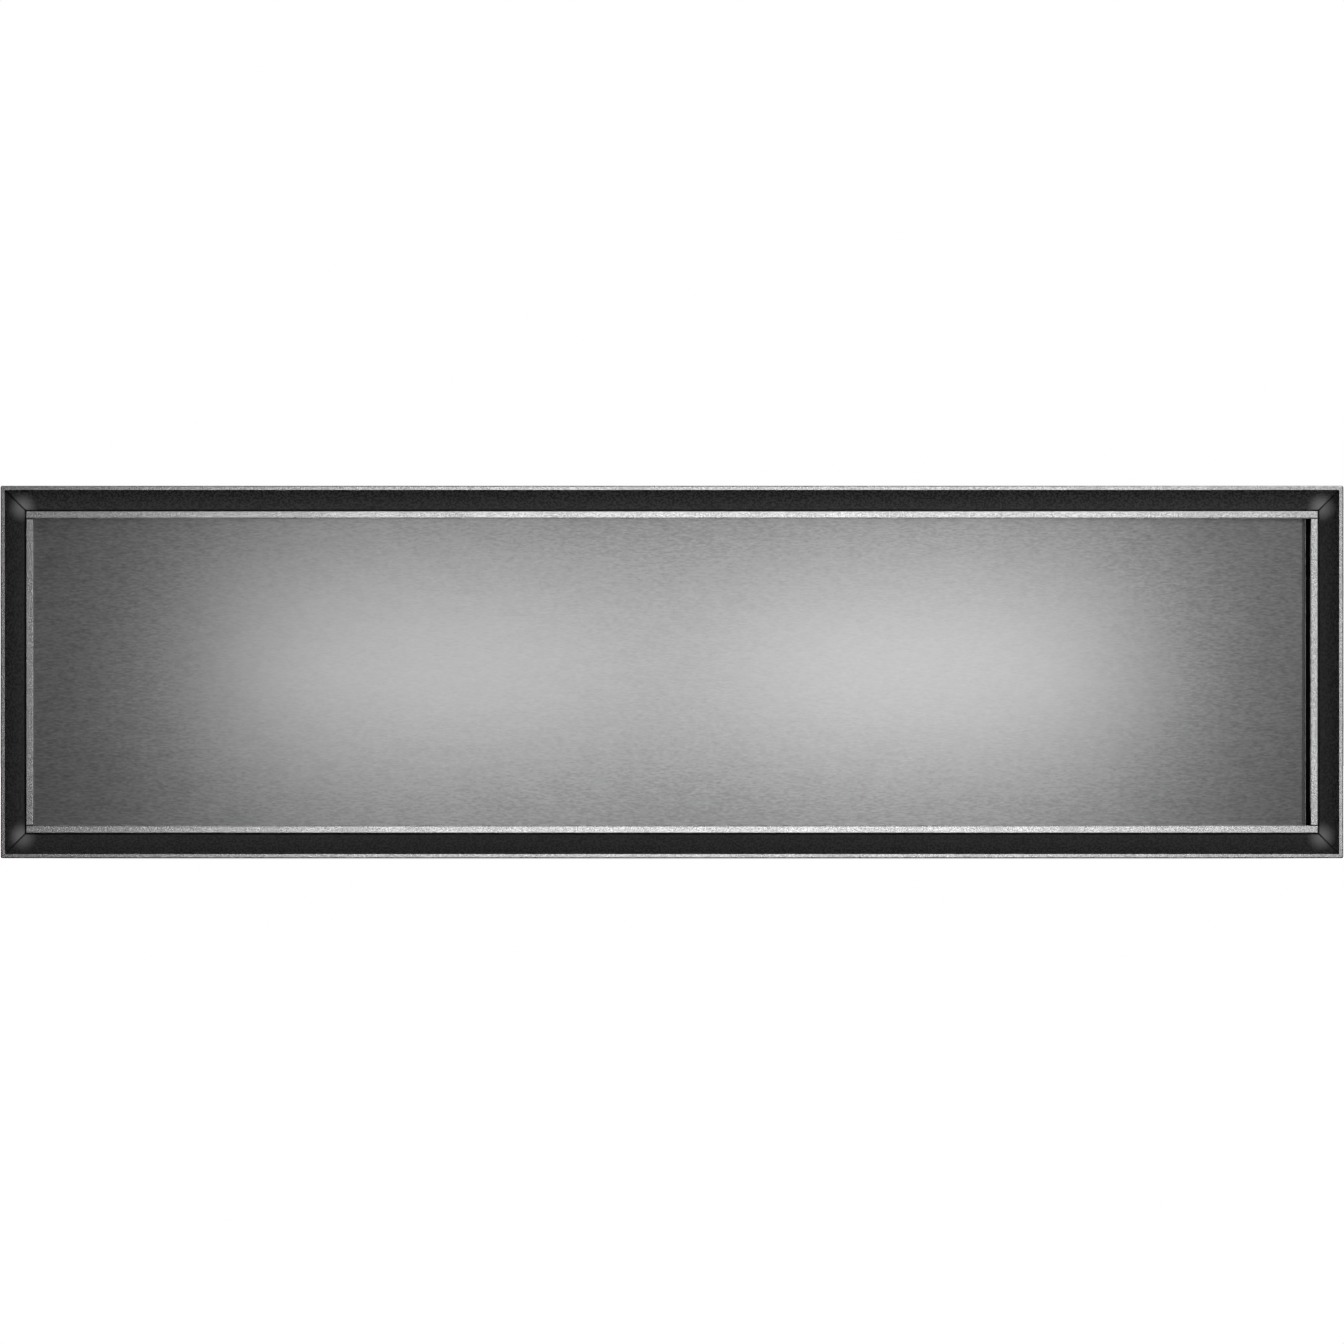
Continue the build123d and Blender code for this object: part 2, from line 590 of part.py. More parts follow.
# Each cage: its web's middle and its ball row
CAGES = {
    "outer": (RUNNER_SHEET + CAGE_GAP + CAGE_SHEET / 2, OUTER_ROW),
    "inner": (INNER_TIP - CAGE_GAP - CAGE_SHEET / 2, INNER_ROW),
}
for side, sx in (("left", -1), ("right", 1)):
    for name, (web, tip, top, length, rows) in CHANNELS.items():
        with BuildPart() as channel:
            with BuildSketch(front(RUNNER_START + length)):
                with BuildLine():
                    FilletPolyline(
                        (sx * (WALL_FACE - tip), MID_Z + top - half),
                        (sx * (WALL_FACE - web), MID_Z + top - half),
                        (sx * (WALL_FACE - web), MID_Z - top + half),
                        (sx * (WALL_FACE - tip), MID_Z - top + half),
                        radius=RUNNER_BEND,
                    )
                trace(line_width=RUNNER_SHEET)
                for row in rows:
                    with Locations(*[(sx * (WALL_FACE - ball_line), MID_Z + sz * row) for sz in (-1, 1)]):
                        Circle(BALL_RADIUS + BALL_CLEARANCE, mode=Mode.SUBTRACT)
            extrude(amount=length)
            if name != "middle":
                with BuildSketch(Plane.YZ.offset(sx * (WALL_FACE - web))):
                    with Locations(*[(y, MID_Z) for y in hole_y]):
                        Circle(RUNNER_HOLE)
                extrude(amount=RUNNER_SHEET, both=True, mode=Mode.SUBTRACT)
        write(channel.part, f"runner_{name}_{side}")
    for name, (web, row) in CAGES.items():
        ball_places = [
            (sx * (WALL_FACE - ball_line), y, MID_Z + sz * row) for sz in (-1, 1) for y in ball_y
        ]
        with BuildPart() as cage:
            with BuildSketch(front(CAGE_START + CAGE_LENGTH)):
                with BuildLine():
                    Polyline(
                        (sx * (WALL_FACE - cage_tip), MID_Z + row),
                        (sx * (WALL_FACE - web), MID_Z + row),
                        (sx * (WALL_FACE - web), MID_Z - row),
                        (sx * (WALL_FACE - cage_tip), MID_Z - row),
                    )
                trace(line_width=CAGE_SHEET)
            extrude(amount=CAGE_LENGTH)
            with Locations(*ball_places):
                Cylinder(BALL_RADIUS + BALL_HOLE_GAP, 2 * CAGE_SHEET, mode=Mode.SUBTRACT)
        write(cage.part, f"ball_cage_{name}_{side}")
        with BuildPart() as balls:
            with Locations(*ball_places):
                Sphere(BALL_RADIUS)
        write(balls.part, f"balls_{name}_{side}")

# Rivets from outside the housing, flush with the outer channels' webs
with BuildPart() as runner_rivets:
    for sx in (-1, 1):
        with BuildSketch(Plane.YZ.offset(sx * HOUSING_WIDTH / 2)):
            with Locations(*[(y, MID_Z) for y in hole_y]):
                Circle(RIVET_HEAD_RADIUS)
        extrude(amount=sx * RIVET_HEAD_HEIGHT)
    for sx in (-1, 1):
        head_faces = runner_rivets.faces().filter_by(Axis.X).group_by(Axis.X)[0 if sx < 0 else -1]
        fillet(head_faces.edges(), RIVET_HEAD_EDGE)
    for sx in (-1, 1):
        with BuildSketch(Plane.YZ.offset(sx * HOUSING_WIDTH / 2)):
            with Locations(*[(y, MID_Z) for y in hole_y]):
                Circle(RUNNER_HOLE - RIVET_GAP)
        extrude(amount=-sx * (SHEET + RUNNER_SHEET))
write(runner_rivets.part, "runner_rivets")

# Drawer front


def span(x0, x1, y0, y1, mode=Mode.ADD):
    """A rectangle between two corners of the open sketch."""
    with Locations(((x0 + x1) / 2, (y0 + y1) / 2)):
        Rectangle(abs(x1 - x0), abs(y1 - y0), mode=mode)


half_width = FRONT_WIDTH / 2
half_height = FRONT_HEIGHT / 2
for name, sz in (("rim_top", 1), ("rim_bottom", -1)):
    outer = MID_Z + sz * half_height
    inner = outer - sz * RIM_WIDTH
    with BuildPart() as rim:
        with BuildSketch(front(RIM_BACK)):
            span(-half_width, half_width, inner, outer)
        extrude(amount=RIM_DEPTH)
        fillet(rim.faces().sort_by(Axis.Y)[0].edges(), RIM_EDGE)
        with BuildSketch(front(RIM_BACK)):
            span(-PANEL_WIDTH / 2 + RIM_JOINT, PANEL_WIDTH / 2 - RIM_JOINT, inner, inner - sz * RIM_LEDGE)
        extrude(amount=RIM_BACK - TRAY_FRONT)
    write(rim.part, name)

for name, sx in (("rim_left", -1), ("rim_right", 1)):
    outer = sx * half_width
    inner = outer - sx * RIM_WIDTH
    rim_run = PANEL_HEIGHT / 2 - RIM_JOINT
    ledge_run = rim_run - RIM_LEDGE
    with BuildPart() as rim:
        with BuildSketch(front(RIM_BACK)):
            span(inner, outer, MID_Z - rim_run, MID_Z + rim_run)
        extrude(amount=RIM_DEPTH)
        fillet(rim.faces().sort_by(Axis.Y)[0].edges(), RIM_EDGE)
        with BuildSketch(front(RIM_BACK)):
            span(inner, inner - sx * RIM_LEDGE, MID_Z - ledge_run, MID_Z + ledge_run)
        extrude(amount=RIM_BACK - TRAY_FRONT)
    write(rim.part, name)

panel_left = PANEL_GAP - PANEL_WIDTH / 2
panel_right = PANEL_WIDTH / 2 - GROOVE_WIDTH
panel_half = PANEL_HEIGHT / 2 - PANEL_GAP
with BuildPart() as front_panel:
    with BuildSketch(Plane.XY.offset(MID_Z - panel_half)):
        with BuildLine():
            FilletPolyline(
                (panel_left, PANEL_FRONT + PANEL_SHEET / 2),
                (panel_right - PANEL_SHEET / 2, PANEL_FRONT + PANEL_SHEET / 2),
                (panel_right - PANEL_SHEET / 2, PANEL_FRONT + PANEL_RETURN),
                radius=PANEL_BEND,
            )
        trace(line_width=PANEL_SHEET)
    extrude(amount=2 * panel_half)
write(front_panel.part, "front_panel")

with BuildPart() as front_carrier:
    with BuildSketch(front(TRAY_FRONT)):
        span(panel_left, panel_right - PANEL_SHEET - CARRIER_GAP, MID_Z - panel_half, MID_Z + panel_half)
    extrude(amount=CARRIER_SHEET)
write(front_carrier.part, "front_carrier")

# A dark strip that lines the shadow groove, a shallow channel in section
strip_left = panel_right + STRIP_GAP
strip_right = PANEL_WIDTH / 2 - STRIP_GAP
with BuildPart() as groove_strip:
    with BuildSketch(Plane.XY.offset(MID_Z - panel_half)):
        span(strip_left, strip_right, TRAY_FRONT, TRAY_FRONT - STRIP_FLOOR)
        span(strip_left, strip_left + STRIP_LIP, TRAY_FRONT, TRAY_FRONT - STRIP_HEIGHT)
        span(strip_right - STRIP_LIP, strip_right, TRAY_FRONT, TRAY_FRONT - STRIP_HEIGHT)
    extrude(amount=2 * panel_half)
write(groove_strip.part, "groove_strip")

buffer_x = half_width - BUFFER_INSET
buffer_spacing = HOUSING_HEIGHT - 2 * BUFFER_END
with BuildPart() as front_buffers:
    with BuildSketch(front(RIM_BACK)):
        with Locations((0, MID_Z)):
            with GridLocations(2 * buffer_x, buffer_spacing, 2, 2):
                Circle(BUFFER_RADIUS)
    extrude(amount=-BUFFER_HEIGHT)
    fillet(front_buffers.faces().group_by(Axis.Y)[-1].edges(), BUFFER_EDGE)
write(front_buffers.part, "front_buffers")

# Drawer tray

tray_middle = (TRAY_FRONT + TRAY_REAR) / 2
with BuildPart() as drawer_tray:
    with BuildSketch(Plane.XY.offset(TRAY_FLOOR)):
        with Locations((0, tray_middle)):
            RectangleRounded(TRAY_WIDTH, TRAY_DEPTH, TRAY_CORNER)
    extrude(amount=TRAY_HEIGHT)
    fillet(drawer_tray.faces().sort_by(Axis.Z)[0].edges(), TRAY_BOTTOM_BEND)
    offset(amount=-TRAY_WALL, openings=drawer_tray.faces().sort_by(Axis.Z)[-1])
    with BuildSketch(Plane.XY.offset(TRAY_TOP - TRAY_WALL)):
        with Locations((0, tray_middle)):
            RectangleRounded(TRAY_WIDTH + 2 * HEM, TRAY_DEPTH + 2 * HEM, TRAY_CORNER + HEM)
            RectangleRounded(
                TRAY_WIDTH - TRAY_WALL, TRAY_DEPTH - TRAY_WALL, TRAY_CORNER, mode=Mode.SUBTRACT
            )
        span(-TRAY_WIDTH, TRAY_WIDTH, TRAY_FRONT, TRAY_FRONT - 2 * HEM, mode=Mode.SUBTRACT)
    extrude(amount=TRAY_WALL)
    with BuildSketch(front(TRAY_REAR)):
        with Locations((0, FAN_Z)):
            Circle(INTAKE_RADIUS)
        with Locations((-OUTLET_X, FAN_Z), (OUTLET_X, FAN_Z)):
            RectangleRounded(OUTLET_WIDTH, OUTLET_HEIGHT, OUTLET_CORNER)
    extrude(amount=2 * TRAY_WALL, both=True, mode=Mode.SUBTRACT)
write(drawer_tray.part, "drawer_tray")

rail_outer = INNER_SIDE - RAIL_INSET
rail_inner = rail_outer - RAIL_WIDTH
rail_half = RAIL_SHEET / 2
bay_front = CONSOLE_BACK + BAY_MARGIN
bay_rear = INNER_REAR - BAY_MARGIN
with BuildPart() as glass_rails:
    for sx in (-1, 1):
        with BuildSketch(front(bay_rear)):
            with BuildLine():
                FilletPolyline(
                    (sx * (rail_outer - rail_half), FLOOR_TOP),
                    (sx * (rail_outer - rail_half), GLASS_UNDER - rail_half),
                    (sx * (rail_inner + rail_half), GLASS_UNDER - rail_half),
                    (sx * (rail_inner + rail_half), FLOOR_TOP),
                    radius=RAIL_BEND,
                )
            trace(line_width=RAIL_SHEET)
        extrude(amount=bay_rear - bay_front)
write(glass_rails.part, "glass_rails")

glass_front = CONSOLE_BACK + GLASS_GAP
glass_rear = INNER_REAR - GLASS_GAP
with BuildPart() as glass_plate:
    with BuildSketch(Plane.XY.offset(GLASS_UNDER)):
        with Locations((0, (glass_front + glass_rear) / 2)):
            RectangleRounded(2 * (INNER_SIDE - GLASS_GAP), glass_rear - glass_front, GLASS_CORNER)
    extrude(amount=GLASS_THICKNESS)
    fillet(glass_plate.faces().sort_by(Axis.Z)[-1].edges(), GLASS_EDGE)
write(glass_plate.part, "glass_plate")

bay_middle = (bay_front + bay_rear) / 2
board_half = rail_inner - INSULATION_GAP
board_top = FLOOR_TOP + INSULATION_THICKNESS
with BuildPart() as insulation_board:
    with BuildSketch(Plane.XY.offset(FLOOR_TOP)):
        span(-board_half, board_half, bay_front, bay_rear)
    extrude(amount=INSULATION_THICKNESS)
write(insulation_board.part, "insulation_board")

heater_z = board_top + HEATER_SEAT + HEATER_RADIUS
pass_y = spread(bay_front + HEATER_MARGIN, bay_rear - HEATER_MARGIN, HEATER_PASSES)
heater_end = board_half - HEATER_MARGIN
heater_bend = HEATER_BEND_SHARE * (pass_y[1] - pass_y[0])
heater_points = []
for i, y in enumerate(pass_y):
    turn = 1 if i % 2 else -1
    heater_points += [(turn * heater_end, y), (-turn * heater_end, y)]
with BuildPart() as heater_element:
    with BuildLine(Plane.XY.offset(heater_z)) as heater_path:
        FilletPolyline(*heater_points, radius=heater_bend)
    with BuildSketch(Plane(origin=heater_path.line @ 0, z_dir=heater_path.line % 0)):
        Circle(HEATER_RADIUS)
    sweep()
    for y in (pass_y[0], pass_y[-1]):
        with BuildSketch(Plane.YZ.offset(-heater_end)):
            with Locations((y, heater_z)):
                Circle(HEATER_END_RADIUS)
        extrude(amount=-HEATER_END_LENGTH)
write(heater_element.part, "heater_element")

clip_inner = HEATER_RADIUS + CLIP_GAP
clip_outer = clip_inner + CLIP_SHEET
clip_foot = clip_outer + CLIP_FOOT
with BuildPart() as heater_clips:
    for x in (-CLIP_SHARE * heater_end, CLIP_SHARE * heater_end):
        for y in pass_y:
            with BuildSketch(Plane.YZ.offset(x)):
                with Locations((y, heater_z)):
                    Circle(clip_outer)
                span(y - clip_outer, y + clip_outer, board_top, heater_z)
                span(y - clip_foot, y + clip_foot, board_top, board_top + CLIP_SHEET)
                with Locations((y, heater_z)):
                    Circle(clip_inner, mode=Mode.SUBTRACT)
                span(y - clip_inner, y + clip_inner, board_top, heater_z, mode=Mode.SUBTRACT)
                span(y - clip_foot, y + clip_foot, board_top, board_top - clip_outer, mode=Mode.SUBTRACT)
            extrude(amount=CLIP_WIDTH / 2, both=True)
write(heater_clips.part, "heater_clips")

with BuildPart() as temperature_limiter:
    with BuildSketch(Plane.XY.offset(board_top)):
        with Locations((0, bay_middle)):
            Circle(LIMITER_RADIUS)
    extrude(amount=LIMITER_HEIGHT)
    fillet(temperature_limiter.faces().sort_by(Axis.Z)[-1].edges(), LIMITER_EDGE)
    with BuildSketch(Plane.XY.offset(board_top)):
        with Locations((0, bay_middle)):
            SlotCenterToCenter(LIMITER_EAR_SPACING, 2 * LIMITER_EAR_RADIUS)
    extrude(amount=CLIP_SHEET)
write(temperature_limiter.part, "temperature_limiter")

# Controls

console_side = INNER_SIDE - CONSOLE_GAP
console_front = INNER_FRONT + CONSOLE_GAP
apron_bottom = FLOOR_TOP + CONSOLE_FOOT
with BuildPart() as control_console:
    with BuildSketch(Plane.YZ):
        with BuildLine():
            FilletPolyline(
                (console_front, CONSOLE_TOP - CONSOLE_SHEET / 2),
                (CONSOLE_BACK - CONSOLE_SHEET / 2, CONSOLE_TOP - CONSOLE_SHEET / 2),
                (CONSOLE_BACK - CONSOLE_SHEET / 2, apron_bottom),
                radius=CONSOLE_BEND,
            )
        trace(line_width=CONSOLE_SHEET)
    extrude(amount=console_side, both=True)
    front_corners = control_console.edges().filter_by(Axis.Z).group_by(Axis.Y)[0]
    fillet(front_corners, TRAY_CORNER)
    with BuildSketch(Plane.XY.offset(CONSOLE_TOP)):
        with Locations((KNOB_X, CONTROL_Y)):
            Circle(BUSH_RADIUS + CONSOLE_GAP)
        with Locations((BUTTON_X, CONTROL_Y)):
            Circle(BUTTON_RADIUS + BUTTON_CLEARANCE)
        with Locations((LENS_X, CONTROL_Y)):
            Circle(LENS_RADIUS + CONSOLE_GAP)
    extrude(amount=-CONSOLE_SHEET, mode=Mode.SUBTRACT)
write(control_console.part, "control_console")

spindle_foot = CONSOLE_UNDER - SPINDLE_DEPTH
with BuildPart() as thermostat:
    with Locations((KNOB_X, CONTROL_Y, CONSOLE_UNDER)):
        Box(*THERMOSTAT_SIZE, align=(Align.CENTER, Align.CENTER, Align.MAX))
    fillet(thermostat.edges().filter_by(Axis.Z), THERMOSTAT_EDGE)
    with BuildSketch(Plane.XY.offset(CONSOLE_UNDER)):
        with Locations((KNOB_X, CONTROL_Y)):
            Circle(BUSH_RADIUS)
    extrude(amount=CONSOLE_SHEET)
    with BuildSketch(Plane.XY.offset(CONSOLE_TOP)):
        with Locations((KNOB_X, CONTROL_Y)):
            Circle(SPINDLE_RADIUS + SPINDLE_CLEARANCE)
    extrude(amount=spindle_foot - SPINDLE_END_GAP - CONSOLE_TOP, mode=Mode.SUBTRACT)
    tab_top = CONSOLE_UNDER - THERMOSTAT_SIZE[2]
    with Locations(*[(KNOB_X + i * TAB_PITCH, CONTROL_Y, tab_top) for i in (-1, 0, 1)]):
        Box(*TAB_SIZE, align=(Align.CENTER, Align.CENTER, Align.MAX))
write(thermostat.part, "thermostat")

knob_foot = CONSOLE_TOP + KNOB_LIFT
with BuildPart() as thermostat_spindle:
    with BuildSketch(Plane.XY.offset(spindle_foot)):
        with Locations((KNOB_X, CONTROL_Y)):
            Circle(SPINDLE_RADIUS)
    extrude(amount=knob_foot + SPINDLE_SEAT - spindle_foot)
write(thermostat_spindle.part, "thermostat_spindle")

with BuildPart() as temperature_knob:
    with BuildSketch(Plane.XY.offset(knob_foot)):
        with Locations((KNOB_X, CONTROL_Y)):
            Circle(KNOB_RADIUS)
    extrude(amount=KNOB_HEIGHT)
    fillet(temperature_knob.faces().sort_by(Axis.Z)[-1].edges(), KNOB_EDGE)
    with BuildSketch(Plane.XY.offset(knob_foot + KNOB_SKIRT)):
        with Locations((KNOB_X, CONTROL_Y)):
            with PolarLocations(KNOB_RADIUS + KNOB_FLUTE_RADIUS / 2, KNOB_FLUTES):
                Circle(KNOB_FLUTE_RADIUS)
    extrude(amount=KNOB_HEIGHT, mode=Mode.SUBTRACT)
    with BuildSketch(Plane.XY.offset(knob_foot + KNOB_HEIGHT)):
        with Locations((KNOB_X, CONTROL_Y + KNOB_RADIUS - POINTER_LENGTH / 2)):
            Rectangle(POINTER_WIDTH, POINTER_LENGTH)
    extrude(amount=-POINTER_DEPTH, mode=Mode.SUBTRACT)
    with BuildSketch(Plane.XY.offset(knob_foot)):
        with Locations((KNOB_X, CONTROL_Y)):
            Circle(SPINDLE_RADIUS + SPINDLE_CLEARANCE)
    extrude(amount=SPINDLE_SEAT + SPINDLE_CLEARANCE, mode=Mode.SUBTRACT)
write(temperature_knob.part, "temperature_knob")

button_top = CONSOLE_TOP + BUTTON_RISE
flange_top = CONSOLE_UNDER - BUTTON_CLEARANCE
flange_bottom = flange_top - BUTTON_FLANGE_THICKNESS
with BuildPart() as power_button:
    with BuildSketch(Plane.XY.offset(flange_bottom)):
        with Locations((BUTTON_X, CONTROL_Y)):
            Circle(BUTTON_RADIUS)
    extrude(amount=button_top - flange_bottom)
    fillet(power_button.faces().sort_by(Axis.Z)[-1].edges(), BUTTON_EDGE)
    with BuildSketch(Plane.XY.offset(flange_bottom)):
        with Locations((BUTTON_X, CONTROL_Y)):
            Circle(BUTTON_RADIUS + BUTTON_FLANGE)
    extrude(amount=BUTTON_FLANGE_THICKNESS)
write(power_button.part, "power_button")

with BuildPart() as switch_body:
    with Locations((BUTTON_X, CONTROL_Y, CONSOLE_UNDER)):
        Box(SWITCH_SIZE, SWITCH_SIZE, SWITCH_HEIGHT, align=(Align.CENTER, Align.CENTER, Align.MAX))
    fillet(switch_body.edges().filter_by(Axis.Z), THERMOSTAT_EDGE)
    with BuildSketch(Plane.XY.offset(CONSOLE_UNDER)):
        with Locations((BUTTON_X, CONTROL_Y)):
            Circle(BUTTON_RADIUS + BUTTON_FLANGE + SWITCH_GAP)
    extrude(amount=flange_bottom - BUTTON_TRAVEL - SWITCH_SPRING - CONSOLE_UNDER, mode=Mode.SUBTRACT)
    tab_top = CONSOLE_UNDER - SWITCH_HEIGHT
    with Locations(*[(BUTTON_X + i * TAB_PITCH / 2, CONTROL_Y, tab_top) for i in (-1, 1)]):
        Box(*TAB_SIZE, align=(Align.CENTER, Align.CENTER, Align.MAX))
write(switch_body.part, "switch_body")

with BuildPart() as indicator_lens:
    with BuildSketch(Plane.XY.offset(CONSOLE_UNDER)):
        with Locations((LENS_X, CONTROL_Y)):
            Circle(LENS_RADIUS)
    extrude(amount=CONSOLE_SHEET + LENS_RISE)
    fillet(indicator_lens.faces().sort_by(Axis.Z)[-1].edges(), LENS_EDGE)
    with BuildSketch(Plane.XY.offset(CONSOLE_UNDER)):
        with Locations((LENS_X, CONTROL_Y)):
            Circle(LENS_COLLAR)
    extrude(amount=-LENS_DEPTH)
write(indicator_lens.part, "indicator_lens")

# Circulation fan

grille_width = FAN_BOX_WIDTH - 2 * GRILLE_MARGIN
grille_height = FAN_BOX_HEIGHT - 2 * GRILLE_MARGIN
grille_rows = int(OUTLET_HEIGHT / GRILLE_PITCH)
arc_step = 360 / INTAKE_ARCS
with BuildPart() as fan_cover:
    with BuildSketch(front(INNER_REAR)):
        with Locations((0, FAN_Z)):
            RectangleRounded(grille_width, grille_height, GRILLE_CORNER)
        for sx in (-1, 1):
            with Locations((sx * OUTLET_X, FAN_Z)):
                with GridLocations(0, GRILLE_PITCH, 1, grille_rows):
                    SlotOverall(GRILLE_SLOT_LENGTH, GRILLE_SLOT, mode=Mode.SUBTRACT)
        for ring in [share * INTAKE_RADIUS for share in INTAKE_RING_SHARES]:
            for i in range(INTAKE_ARCS):
                with BuildLine():
                    CenterArc(
                        (0, FAN_Z), ring, i * arc_step + INTAKE_BRIDGE, arc_step - 2 * INTAKE_BRIDGE
                    )
                trace(line_width=GRILLE_SLOT, mode=Mode.SUBTRACT)
    extrude(amount=GRILLE_SHEET)
write(fan_cover.part, "fan_cover")

fan_back = TRAY_REAR + FAN_BOX_DEPTH
with BuildPart() as fan_housing:
    with BuildSketch(front(fan_back)):
        with Locations((0, FAN_Z)):
            RectangleRounded(FAN_BOX_WIDTH, FAN_BOX_HEIGHT, FAN_BOX_CORNER)
    extrude(amount=FAN_BOX_DEPTH)
    fillet(fan_housing.faces().sort_by(Axis.Y)[-1].edges(), FAN_BOX_EDGE)
    offset(amount=-FAN_SHEET, openings=fan_housing.faces().sort_by(Axis.Y)[0])
    with BuildSketch(front(TRAY_REAR + FAN_SHEET)):
        with Locations((0, FAN_Z)):
            RectangleRounded(
                FAN_BOX_WIDTH + 2 * FAN_LIP, FAN_BOX_HEIGHT + 2 * FAN_LIP, FAN_BOX_CORNER + FAN_LIP
            )
            RectangleRounded(
                FAN_BOX_WIDTH - FAN_SHEET, FAN_BOX_HEIGHT - FAN_SHEET, FAN_BOX_CORNER, mode=Mode.SUBTRACT
            )
    extrude(amount=FAN_SHEET)
    with BuildSketch(front(fan_back)):
        with Locations((0, FAN_Z)):
            Circle(SHAFT_RADIUS + SHAFT_HOLE_GAP)
    extrude(amount=FAN_SHEET, mode=Mode.SUBTRACT)
write(fan_housing.part, "fan_housing")

impeller_front = TRAY_REAR + IMPELLER_GAP
impeller_back = impeller_front + IMPELLER_DEPTH
blade_tip = IMPELLER_RADIUS - BLADE_SHEET
with BuildPart() as fan_impeller:
    with BuildSketch(front(impeller_back)):
        with Locations((0, FAN_Z)):
            Circle(IMPELLER_RADIUS)
    extrude(amount=IMPELLER_PLATE)
    with BuildSketch(front(impeller_back)):
        with Locations((0, FAN_Z)):
            Circle(IMPELLER_HUB)
    extrude(amount=IMPELLER_HUB_LENGTH)
    with BuildSketch(front(impeller_back)):
        for i in range(IMPELLER_BLADES):
            turn = i * 360 / IMPELLER_BLADES
            inner_way = Vector(1, 0).rotate(Axis.Z, turn)
            middle_way = Vector(1, 0).rotate(Axis.Z, turn + BLADE_SWEEP * BLADE_BOW)
            outer_way = Vector(1, 0).rotate(Axis.Z, turn + BLADE_SWEEP)
            hub_point = Vector(0, FAN_Z)
            with BuildLine():
                ThreePointArc(
                    hub_point + inner_way * IMPELLER_EYE,
                    hub_point + middle_way * (IMPELLER_EYE + blade_tip) / 2,
                    hub_point + outer_way * blade_tip,
                )
            trace(line_width=BLADE_SHEET)
    extrude(amount=IMPELLER_DEPTH)
    with BuildSketch(front(impeller_front + IMPELLER_PLATE)):
        with Locations((0, FAN_Z)):
            Circle(IMPELLER_RADIUS)
            Circle(IMPELLER_RADIUS - IMPELLER_RING_WIDTH, mode=Mode.SUBTRACT)
    extrude(amount=IMPELLER_PLATE)
    with BuildSketch(front(impeller_back)):
        with Locations((0, FAN_Z)):
            Circle(SHAFT_RADIUS + SHAFT_CLEARANCE)
    extrude(amount=IMPELLER_DEPTH, mode=Mode.SUBTRACT)
write(fan_impeller.part, "fan_impeller")

stator_front = fan_back + BRIDGE_DEPTH
stator_back = stator_front + STATOR_DEPTH
motor_back = stator_back + BRIDGE_DEPTH
stator_top = FAN_Z + STATOR_ABOVE
bridge_inner = STATOR_WIDTH / 2 - BRIDGE_SHEET
stator_bottom = stator_top - STATOR_HEIGHT
leg_top = stator_bottom + STATOR_LEG
window_top = leg_top + STATOR_WINDOW[1]
with BuildPart() as fan_motor:
    with BuildSketch(front(stator_back)):
        span(-STATOR_WIDTH / 2, STATOR_WIDTH / 2, stator_bottom, stator_top)
        with Locations((0, FAN_Z)):
            Circle(ROTOR_RADIUS + ROTOR_GAP, mode=Mode.SUBTRACT)
        span(-STATOR_WINDOW[0] / 2, STATOR_WINDOW[0] / 2, leg_top, window_top, mode=Mode.SUBTRACT)
    extrude(amount=STATOR_DEPTH)
    for outer_y, inner_y in ((fan_back, stator_front), (motor_back, stator_back)):
        way = math.copysign(1, inner_y - outer_y)
        bar_y = outer_y + way * BRIDGE_SHEET
        bearing_y = bar_y + way * BEARING_LENGTH
        with BuildSketch(Plane.XY.offset(FAN_Z - BRIDGE_WIDTH / 2)):
            span(-STATOR_WIDTH / 2, STATOR_WIDTH / 2, outer_y, inner_y)
            span(-bridge_inner, bridge_inner, bar_y, inner_y, mode=Mode.SUBTRACT)
        extrude(amount=BRIDGE_WIDTH)
        with BuildSketch(front(max(outer_y, bearing_y))):
            with Locations((0, FAN_Z)):
                Circle(BEARING_RADIUS)
        extrude(amount=BRIDGE_SHEET + BEARING_LENGTH)
    with BuildSketch(front(motor_back)):
        with Locations((0, FAN_Z)):
            Circle(SHAFT_RADIUS + SHAFT_CLEARANCE)
    extrude(amount=motor_back - fan_back, mode=Mode.SUBTRACT)
write(fan_motor.part, "fan_motor")

coil_front = stator_front - COIL_GAP - COIL_WRAP
coil_back = stator_back + COIL_GAP + COIL_WRAP
with BuildPart() as fan_coil:
    with BuildSketch(Plane.YZ):
        with Locations(((coil_front + coil_back) / 2, (stator_bottom + leg_top) / 2)):
            RectangleRounded(
                coil_back - coil_front, STATOR_LEG + 2 * (COIL_GAP + COIL_WRAP), COIL_CORNER
            )
            Rectangle(STATOR_DEPTH + 2 * COIL_GAP, STATOR_LEG + 2 * COIL_GAP, mode=Mode.SUBTRACT)
    extrude(amount=COIL_WIDTH / 2, both=True)
write(fan_coil.part, "fan_coil")

with BuildPart() as fan_shaft:
    with BuildSketch(front(motor_back + SHAFT_OUT)):
        with Locations((0, FAN_Z)):
            Circle(SHAFT_RADIUS)
    extrude(amount=motor_back + SHAFT_OUT - impeller_back + IMPELLER_HUB_LENGTH)
    with BuildSketch(front(stator_back)):
        with Locations((0, FAN_Z)):
            Circle(ROTOR_RADIUS)
    extrude(amount=STATOR_DEPTH)
write(fan_shaft.part, "fan_shaft")

# Push latch

